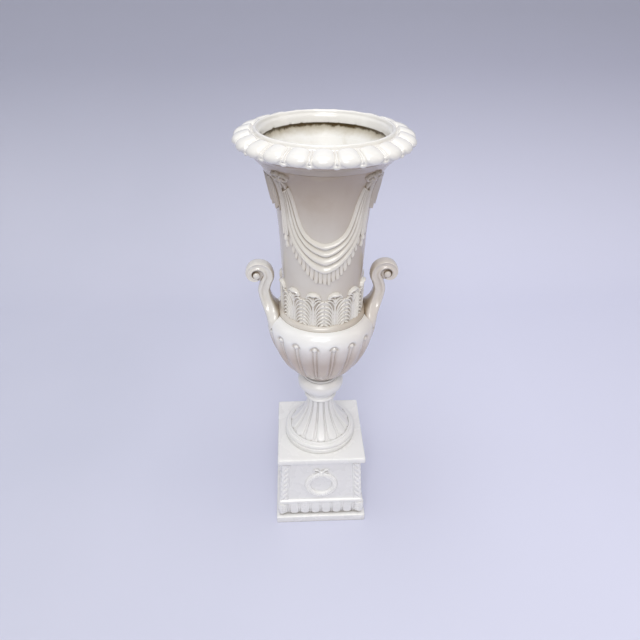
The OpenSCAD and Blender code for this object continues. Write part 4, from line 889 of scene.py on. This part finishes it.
def wreath(side, angle, material):
    """Rounded laurel ring with a bow over it, on one panel."""
    x, z = grid(-37.5, 37.5, 190, WREATH_Z - 38.5, WREATH_Z + 52.5, 230)
    up = z - WREATH_Z
    off = (np.hypot(x, up) - WREATH_R) / WREATH_HALF
    leaves = np.abs(np.degrees(np.arctan2(x, -up))) / WREATH_LEAF
    leaf = np.abs(np.sin(math.pi * (leaves - 0.45 * np.abs(off))))
    ring = WREATH_RISE * dome(off) * (0.78 + 0.22 * leaf ** 0.6)
    ring = ring - 0.7 * np.exp(-(off / 0.09) ** 2) * (np.abs(off) < 1)
    bow = both((1.5, 0, 1.6, 4.6), (7.5, 6.2, 2.5, 4.4), (14.0, 6.4, 2.3, 3.6), (15.4, 1.6, 1.7, 3.2),
               (9.0, -1.8, 1.8, 3.4), (1.5, -0.4, 1.6, 4.4))
    bow += both((1.2, -1.5, 1.8, 4.6), (8.0, -6.6, 2.1, 3.6), (13.0, -9.4, 1.8, 3.0), (19.0, -8.4, 2.5, 2.4))
    bow.append([(-1.1, 0.2, 3.2, 6.2), (1.1, 0.2, 3.2, 6.2)])
    h = np.maximum(ring, relief(x, up - WREATH_R - BOW_OVER_RING, bow))
    h = h * (1 + 0.05 * noise(spots(x, z), 4.0, 2.0 + angle))
    nodes = [f"wreath_{side}", f"wreath_bow_{side}"]
    sheets = on_panel(angle, x, z, cut_out(h))
    return ornament(f"wreath_and_bow_{side}", nodes, sheets, cells(h), material, "pedestal")


CORNERS = {"front_right": -90, "back_right": 0, "back_left": 90, "front_left": 180}
STRIP_HALF, STRIP_TALL, STRIP_LEAVES, STRIP_BEND = 14.6, 101.4, 7.0, 2.4
LEAF_AT, BEAD_AT, BEAD_HALF = 6.2, 12.9, 1.8


def corner_strip(where, material):
    """Strip of overlapping leaves inside a plain bead, folded round one corner of the dado."""
    w, v = grid(-STRIP_HALF, STRIP_HALF, 111, 0, STRIP_TALL, 340)
    d = np.abs(w)
    z = Z_DADO + 0.3 + v
    half = DADO_HALF - DADO_LEAN * (z - Z_DADO)
    arc = STRIP_BEND * math.pi / 4
    a = math.pi / 4 - np.clip(d / arc, 0, 1) * math.pi / 4
    px = half - STRIP_BEND + STRIP_BEND * np.cos(a)
    py = half - STRIP_BEND + STRIP_BEND * np.sin(a) - np.maximum(d - arc, 0)
    step = DADO_TALL / STRIP_LEAVES
    cell = ((v - 0.9 * np.maximum(d - 1.6, 0)) / step) % 1
    ridge = np.sin(np.pi * np.clip((cell + 0.02) / 0.95, 0, 1)) ** 0.6 * (0.62 + 0.5 * cell)
    across = dome(np.clip((d - LEAF_AT) / 5.2, -1, 1), 2.6)
    inner = np.where(d < LEAF_AT, 0.72 + 0.28 * dome((d - LEAF_AT) / LEAF_AT), across)
    vein = 0.5 * dome((d - 6.0) / 0.8) * (ridge > 0.3)
    border = 2.4 * dome((d - BEAD_AT) / BEAD_HALF, 2.6)
    rope = 1.5 * dome(d / 2.6) * (0.75 + 0.25 * np.cos(2 * np.pi * v / step))
    h = np.maximum((0.8 + 2.6 * ridge - vein) * inner, border)
    h = np.maximum(h, (1.9 + rope) * dome(d / 2.9, 4.0))
    h = h * ease((STRIP_HALF - d) / 0.8) * ease(np.minimum(v, STRIP_TALL - v) / 0.8 + 0.25) + 0.12
    h = h + 0.25 * noise(spots(w, v, CORNERS[where]), 5.0, 2.0) * across
    c, s = math.cos(math.radians(CORNERS[where])), math.sin(math.radians(CORNERS[where]))

    def sheet(off):
        far, near = px + np.cos(a) * off, py + np.sin(a) * off
        x, y = np.where(w < 0, near, far), np.where(w < 0, far, near)
        return np.stack([c * x - s * y, s * x + c * y, z], -1)
    sheets = sheet(h), sheet(-0.9 + 0 * h)
    faces = quads(*w.shape)[:, ::-1]
    nodes = [f"corner_leaves_{where}"]
    return ornament(f"corner_leaf_rope_{where}", nodes, sheets, faces, material, "pedestal")


# Materials. Scales of noise are per metre, and the depths of crevices and bumps are in metres.

class Nodes:
    """Short way to build the nodes of a material, or of the world."""

    def __init__(self, owner, shader="Principled BSDF", place="Object"):
        owner.use_nodes = True
        self.owner = owner
        self.tree = owner.node_tree
        self.shader = self.tree.nodes[shader]
        self.place = self.add("ShaderNodeTexCoord").outputs[place]

    def add(self, kind, **values):
        node = self.tree.nodes.new(kind)
        for key, value in values.items():
            if hasattr(node, key) and key not in node.inputs:
                setattr(node, key, value)
            else:
                node.inputs[key].default_value = value
        return node

    def fill(self, node, sockets):
        """Sets each socket to its value, or joins it to the output that is given for it."""
        for i, v in sockets.items():
            if isinstance(v, (int, float)):
                node.inputs[i].default_value = v
            elif isinstance(v, tuple):
                node.inputs[i].default_value = (*v, 1)
            else:
                self.tree.links.new(v, node.inputs[i])

    def shade(self, sockets):
        self.fill(self.shader, sockets)

    def noise(self, scale, detail=3.0, rough=0.5, distort=0.0):
        node = self.add("ShaderNodeTexNoise", Scale=scale, Detail=detail, Roughness=rough, Distortion=distort)
        self.fill(node, {"Vector": self.place})
        return node.outputs["Fac"]

    def ramp(self, value, stops):
        node = self.add("ShaderNodeValToRGB")
        for element, (at, colour) in zip(node.color_ramp.elements, stops):
            element.position = at
            element.color = (*colour, 1)
        self.fill(node, {"Fac": value})
        return node.outputs["Color"]

    def spread(self, value, low, high, to_low=0.0, to_high=1.0):
        """The value between low and high, spread over another range and clamped to it."""
        node = self.add("ShaderNodeMapRange")
        node.clamp = True
        self.fill(node, {0: value, 1: low, 2: high, 3: to_low, 4: to_high})
        return node.outputs[0]

    def math(self, kind, a, b):
        node = self.add("ShaderNodeMath", operation=kind)
        self.fill(node, {0: a, 1: b})
        return node.outputs[0]

    def times(self, a, *others):
        for b in others:
            a = self.math("MULTIPLY", a, b)
        return a

    def mix(self, share, a, b):
        node = self.add("ShaderNodeMix", data_type="RGBA", blend_type="MIX")
        self.fill(node, {0: share, 6: a, 7: b})
        return node.outputs[2]

    def bump(self, height, strength, distance, normal=None):
        node = self.add("ShaderNodeBump", Strength=strength, Distance=distance)
        self.fill(node, {"Height": height})
        if normal:
            self.fill(node, {"Normal": normal})
        return node.outputs["Normal"]

    def split_place(self):
        node = self.add("ShaderNodeSeparateXYZ")
        self.fill(node, {0: self.place})
        return node.outputs

    def crevice(self, distance):
        """Near 1 in hollows and corners, near 0 on open faces."""
        node = self.add("ShaderNodeAmbientOcclusion", Distance=distance)
        node.samples = 8
        return self.math("SUBTRACT", 1.0, node.outputs["AO"])


# BROWN and BEIGE colour the specks and the fine hollows, where dark glaze pools and shade is painted; the
# grey is painted shade in wide hollows
BROWN, BEIGE, SHADE_GREY = (0.26, 0.17, 0.075), (0.33, 0.3, 0.26), (0.46, 0.455, 0.46)


def glaze(name, colour, shade, dark_glaze_and_shade=BROWN, depth=0.006, rough=(0.1, 0.24), wide_shade_share=0.65, pool_and_shade_share=0.75,
          painted_shade=None, hollow=(0.5, 0.42, 0.32), ripple=0.35):
    """Glossy glaze with dark specks, with dark pooled glaze and painted shade in the fine hollows and painted
    grey-beige shade in the wide ones. The painted shade is a colour, the heights between which it comes in
    and its share on the right-hand side; it paints the shade under the rim, low on the bowl and away from the
    light."""
    n = Nodes(bpy.data.materials.new(name))
    n.shade({"IOR": 1.5, "Coat Weight": 0.35, "Coat Roughness": 0.6 * rough[0]})
    base = n.mix(n.spread(n.noise(14.0, 4.0, 0.55), 0.35, 0.7), colour, shade)
    if painted_shade:
        # Painted shade: it comes in between the heights, towards the right-hand side and in patches
        shade_tint, low, high, to_right = painted_shade
        x, _, z = n.split_place()
        drift = n.math("ADD", z, n.times(n.noise(9.0, 3.0), 0.05))
        base = n.mix(n.spread(drift, low + 0.025, high + 0.025), base, shade_tint)
        base = n.mix(n.spread(x, 0.01, 0.085, 0.0, to_right), base, shade_tint)
        blotch = n.spread(n.noise(24.0, 3.0, 0.55), 0.5, 0.66)
        base = n.mix(n.times(blotch, n.spread(z, low, high, 0.0, 0.45)), base, shade_tint)
    speck = n.spread(n.noise(900.0, 2.0, 0.6), 0.72, 0.8)
    freckle = n.spread(n.noise(60.0, 2.0, 0.5), 0.64, 0.8)
    base = n.mix(n.times(speck, freckle, 0.4), base, dark_glaze_and_shade)
    # Painted shade in the wide hollows
    wide = n.spread(n.crevice(0.05), 0.35, 0.9)
    base = n.mix(n.times(wide, wide_shade_share), base, hollow)
    # Dark glaze pooled in the fine hollows, with painted shade there too
    deep = n.spread(n.crevice(depth), 0.42, 0.85)
    patchy = n.spread(n.noise(60.0, 4.0, 0.6), 0.3, 0.7, 0.45, 1.0)
    base = n.mix(n.times(deep, patchy, pool_and_shade_share), base, dark_glaze_and_shade)
    return finish(n, base, rough, ripple)


def finish(n, base, rough, ripple=0.35):
    """Colour, gloss and the faint ripple that all the glazes share."""
    gloss = n.spread(n.noise(30.0, 3.0, 0.5), 0.3, 0.7, *rough)
    normal = n.bump(n.noise(70.0, 2.0, 0.5), ripple, 0.0006)
    normal = n.bump(n.noise(380.0, 3.0, 0.6), 0.25, 0.00012, normal)
    n.shade({"Base Color": base, "Roughness": gloss, "Normal": normal})
    return n.owner


def inner_glaze(name, colour, shade):
    """The same glaze inside the vase: blotched, with a dark brown band under the lip that is partly the
    glaze's ragged edge and partly painted shadow of the lip.
    """
    n = Nodes(bpy.data.materials.new(name))
    n.shade({"IOR": 1.5, "Coat Weight": 0.1})
    z = n.split_place()[2]
    base = n.mix(n.spread(n.noise(22.0, 5.0, 0.6, 0.6), 0.35, 0.66), colour, shade)
    blotch = n.spread(n.noise(34.0, 5.0, 0.65, 0.5), 0.56, 0.68)
    low = n.spread(z, 0.5, 0.8, 0.75, 0.3)
    base = n.mix(n.times(blotch, low), base, (0.68, 0.64, 0.55))
    # Olive, then dark brown band under the lip: the glaze's edge and painted shadow of the lip
    ragged = n.math("ADD", z, n.times(n.noise(70.0, 4.0, 0.65), 0.012))
    base = n.mix(n.spread(ragged, 0.79, 0.805, 0.0, 0.6), base, (0.34, 0.25, 0.08))
    base = n.mix(n.spread(ragged, 0.8035, 0.8065), base, (0.085, 0.05, 0.008))
    return finish(n, base, (0.3, 0.5))


def unglazed(name, tones, gloss, grain, detail=3.0, tone_from=0.4, metallic=0.0):
    """Plain material. Tones are a noise's scale and two colours, gloss a scale and two roughnesses,
    and grain a scale with the bump's strength and depth."""
    n = Nodes(bpy.data.materials.new(name))
    scale, strength, depth = grain
    n.shade({
        "Metallic": metallic,
        "Base Color": n.mix(n.spread(n.noise(tones[0], detail), tone_from, 0.65), *tones[1:]),
        "Roughness": n.spread(n.noise(gloss[0], 3.0), 0.3, 0.7, *gloss[1:]),
        "Normal": n.bump(n.noise(scale, detail), strength, depth)})
    return n.owner


WHITE, WHITE_SHADE = (0.875, 0.87, 0.855), (0.855, 0.85, 0.835)
SPRIGGED = {"rough": (0.14, 0.28)}
# The pedestal's glazes paint beige pooling and shade in fine hollows and grey shade in wide ones
PLINTH = {"dark_glaze_and_shade": BEIGE, "hollow": SHADE_GREY}

urn_glaze = glaze("glaze_urn", (0.845, 0.835, 0.81), (0.82, 0.803, 0.765))
# Whiter than the urn glaze to paint the light on the shoulder, with painted shade low on the bowl and on the
# right-hand side
bowl_glaze = glaze("glaze_bowl", (0.93, 0.93, 0.92), (0.91, 0.905, 0.89), depth=0.012, rough=(0.12, 0.26),
                   wide_shade_share=0.5, pool_and_shade_share=1.0, painted_shade=((0.6, 0.51, 0.435), 0.479, 0.432, 0.4))
# Dark brown pooled glaze and painted shade in the scroll's recesses, painted grey-brown shade in wide
# hollows, painted shade on the right-hand handle
handle_glaze = glaze("glaze_handle", (0.82, 0.8, 0.76), (0.78, 0.75, 0.695), (0.17, 0.1, 0.035), 0.014,
                     wide_shade_share=0.95, pool_and_shade_share=1.0, painted_shade=((0.58, 0.49, 0.43), 2.0, 3.0, 0.4),
                     hollow=(0.42, 0.32, 0.21))
# Darker than the urn glaze to paint the neck's shade and dull reflections, with painted shade under the rim
# and on the right-hand side
neck_shade_glaze = glaze("glaze_neck_shade", (0.735, 0.7, 0.645), (0.69, 0.64, 0.575),
                   painted_shade=((0.44, 0.35, 0.265), 0.66, 0.785, 0.82))
# Painted shade under the rim's overhang
cove_shade_glaze = glaze("glaze_cove_shade", (0.5, 0.43, 0.37), (0.45, 0.38, 0.32))
inside_glaze = inner_glaze("glaze_inside", (0.92, 0.915, 0.895), (0.87, 0.855, 0.81))
# Painted shade towards the rim and on the right-hand side of the swags and tails
relief_glaze = glaze("glaze_relief", (0.87, 0.845, 0.785), (0.83, 0.8, 0.735), depth=0.004, pool_and_shade_share=0.85,
                     painted_shade=((0.56, 0.5, 0.43), 0.7, 0.775, 0.25), **SPRIGGED)
# A darker copy of the relief glaze: painted shade on the fringe under the swag
fringe_glaze = glaze("glaze_fringe", (0.8, 0.765, 0.7), (0.73, 0.69, 0.62), depth=0.005, pool_and_shade_share=1.0,
                     **SPRIGGED)
leaf_glaze = glaze("glaze_leaf", (0.87, 0.85, 0.8), (0.83, 0.805, 0.755), depth=0.004, wide_shade_share=0.45,
                   pool_and_shade_share=0.6, **SPRIGGED)
# Jabots and knots: a darker glaze, painted shade under the rim
drape_shade_glaze = glaze("glaze_drape_shade", (0.57, 0.51, 0.44), (0.5, 0.44, 0.37), depth=0.004, **SPRIGGED)
foot_glaze = glaze("glaze_foot", WHITE, WHITE_SHADE, depth=0.008, rough=(0.3, 0.44), wide_shade_share=0.5,
                   pool_and_shade_share=1.0, ripple=0.3, **PLINTH)
pedestal_glaze = glaze("glaze_pedestal", WHITE, WHITE_SHADE, depth=0.009, rough=(0.2, 0.34), wide_shade_share=0.6,
                       pool_and_shade_share=0.95, ripple=0.06, **PLINTH)
# A little whiter than the pedestal glaze: painted light on the wreaths and corner strips
laurel_glaze = glaze("glaze_laurel", (0.9, 0.895, 0.88), WHITE, depth=0.007, rough=(0.16, 0.32),
                     wide_shade_share=0.3, pool_and_shade_share=1.0, ripple=0.2, **PLINTH)
steel = unglazed("zinc_steel", (260.0, (0.56, 0.57, 0.58), (0.42, 0.43, 0.44)), (160.0, 0.28, 0.5),
                 (1500.0, 0.3, 0.0001), metallic=1.0)
rubber = unglazed("black_rubber", (300.0, (0.028, 0.028, 0.03), (0.05, 0.048, 0.046)), (200.0, 0.55, 0.75),
                  (1800.0, 0.4, 0.00015))
packing = unglazed("seam_packing", (180.0, (0.1, 0.075, 0.045), (0.28, 0.23, 0.16)), (300.0, 0.7, 0.9),
                   (900.0, 0.7, 0.0004), 4.0, 0.35)

# Pieces

rim_collar(urn_glaze, cove_shade_glaze, inside_glaze)
neck(neck_shade_glaze, inside_glaze)
bowl(bowl_glaze, inside_glaze)
foot(foot_glaze)
for side, middle in (("left", LEFT), ("right", RIGHT)):
    handle(side, handle_glaze)
    jabot(side, middle, drape_shade_glaze)
acanthus(leaf_glaze)
for name, middle in (("front", FRONT), ("back", BACK)):
    swag(name, middle, relief_glaze)
    swag_fringe(name, middle, fringe_glaze)
    for side in ("left", "right"):
        out = 1 if (name == "front") == (side == "right") else -1
        knot(name, side, middle + out * KNOT_TURN, drape_shade_glaze)
        tail(name, side, middle + out * TAIL_TURN, out, relief_glaze)
plinth_base(pedestal_glaze)
plinth_tongues(pedestal_glaze)
plinth_dado(pedestal_glaze)
plinth_top(pedestal_glaze)
for side, angle in (("front", FRONT), ("back", BACK), ("left", LEFT), ("right", RIGHT)):
    wreath(side, angle, laurel_glaze)
for where in CORNERS:
    corner_strip(where, laurel_glaze)

# The rod, its nuts and washers and the packing keep their CAD meshes

for node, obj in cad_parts.items():
    if "packing" in node:
        kind, material = "packing", packing
    elif "rubber" in node:
        kind, material = "rubber", rubber
    elif "rod" in node or "nut" in node or "washer" in node:
        kind, material = "steel", steel
    else:
        continue
    obj.data.materials.clear()
    obj.data.materials.append(material)


# Studio, in metres: pale floor that curves up behind, soft lamps above, dim horizon

def backdrop(material):
    across, back_y, rise, bend = 4.0, 1.5, 3.2, 0.7
    line = [(-3.0, 0.0), (back_y - bend, 0.0)]
    for a in np.linspace(0, math.pi / 2, 24)[1:]:
        line.append((back_y - bend + bend * math.sin(a), bend - bend * math.cos(a)))
    line.append((back_y, rise))
    co = [(x, y, z) for y, z in line for x in np.linspace(-across, across, 9)]
    obj = mesh_object("studio_floor", co, quads(len(line), 9).tolist(), material)


def floor_material():
    """Pale blue paper, with painted light towards the right and painted shade up the back."""
    n = Nodes(bpy.data.materials.new("studio_paper"))
    x, _, z = n.split_place()
    base = n.mix(n.spread(n.noise(1.6, 3.0), 0.3, 0.7), (0.62, 0.63, 0.745), (0.59, 0.605, 0.72))
    # Painted light towards the right
    base = n.mix(n.spread(x, -0.6, 0.6), base, (0.7, 0.71, 0.855))
    # Painted shade up the back
    base = n.mix(n.spread(z, -0.05, 0.88), base, (0.4, 0.41, 0.49))
    n.shade({"Roughness": 0.75, "Specular IOR Level": 0.2, "Base Color": base,
             "Normal": n.bump(n.noise(240.0, 3.0), 0.12, 0.0002)})
    return n.owner


def area_lamp(name, place, target, size, watts, colour):
    lamp = bpy.data.lights.new(name, "AREA")
    lamp.shape = "RECTANGLE"
    lamp.size, lamp.size_y = size
    lamp.energy = watts
    lamp.color = colour
    obj = new_object(name, lamp)
    obj.location = place
    obj.rotation_euler = (Vector(target) - Vector(place)).to_track_quat("-Z", "Y").to_euler()


backdrop(floor_material())
area_lamp("lamp_over", (-0.1, -0.4, 5.2), (0, 0.05, 0.4), (3.2, 2.6), 91, (0.98, 0.99, 1.0))
area_lamp("lamp_front", (-0.3, -3.7, 4.5), (0, 0, 0.42), (2.4, 1.6), 107, (1.0, 0.988, 0.972))
area_lamp("lamp_key", (-0.5, -3.2, 3.0), (0, 0, 0.42), (2.0, 0.8), 16, (1.0, 0.985, 0.96))
area_lamp("lamp_left", (-1.9, -0.2, 1.7), (0, 0, 0.5), (0.5, 1.4), 2.2, (0.97, 0.99, 1.0))
area_lamp("lamp_right", (1.9, -0.4, 1.7), (0, 0, 0.5), (0.5, 1.4), 2.4, (1.0, 0.86, 0.74))

sky = Nodes(bpy.data.worlds.new("studio"), "Background", "Generated")
bpy.context.scene.world = sky.owner
height = sky.spread(sky.split_place()[2], -1.0, 1.0)
sky.shade({"Color": sky.ramp(height, [(0.45, (0.26, 0.235, 0.21)), (0.85, (0.42, 0.42, 0.43))]),
           "Strength": 1.0})

# Camera of the photograph, brought round by three degrees so that the vase stands square

TURN, PITCH, YAW, ROLL = -3.0, 33.784, 0.1, 0.7
CAMERA_AT = (-0.00692, -0.83509, 1.02931)
SENSOR_MM, PICTURE_PX, FOCAL_PX, SHIFT_PX = 36.0, 640, 536.449, 1.5
pitch, yaw, roll = (math.radians(v) for v in (PITCH, YAW, ROLL))
ahead = Vector((math.sin(yaw) * math.cos(pitch), math.cos(yaw) * math.cos(pitch), -math.sin(pitch)))
level = Vector((math.cos(yaw), -math.sin(yaw), 0))
upright = level.cross(ahead)
right = level * math.cos(roll) + upright * math.sin(roll)
up = upright * math.cos(roll) - level * math.sin(roll)
spin = Matrix.Rotation(math.radians(TURN), 4, "Z")
axes = Matrix((right, up, -ahead)).transposed().to_4x4()
camera = bpy.data.cameras.new("camera")
camera.sensor_width = SENSOR_MM
camera.lens = SENSOR_MM * FOCAL_PX / PICTURE_PX
camera.shift_x = SHIFT_PX / PICTURE_PX
camera.clip_start, camera.clip_end = 0.01, 20.0
view = new_object("camera", camera)
view.matrix_world = Matrix.Translation(spin @ Vector(CAMERA_AT)) @ spin @ axes
bpy.context.scene.camera = view
bpy.context.scene.view_settings.view_transform = "Standard"
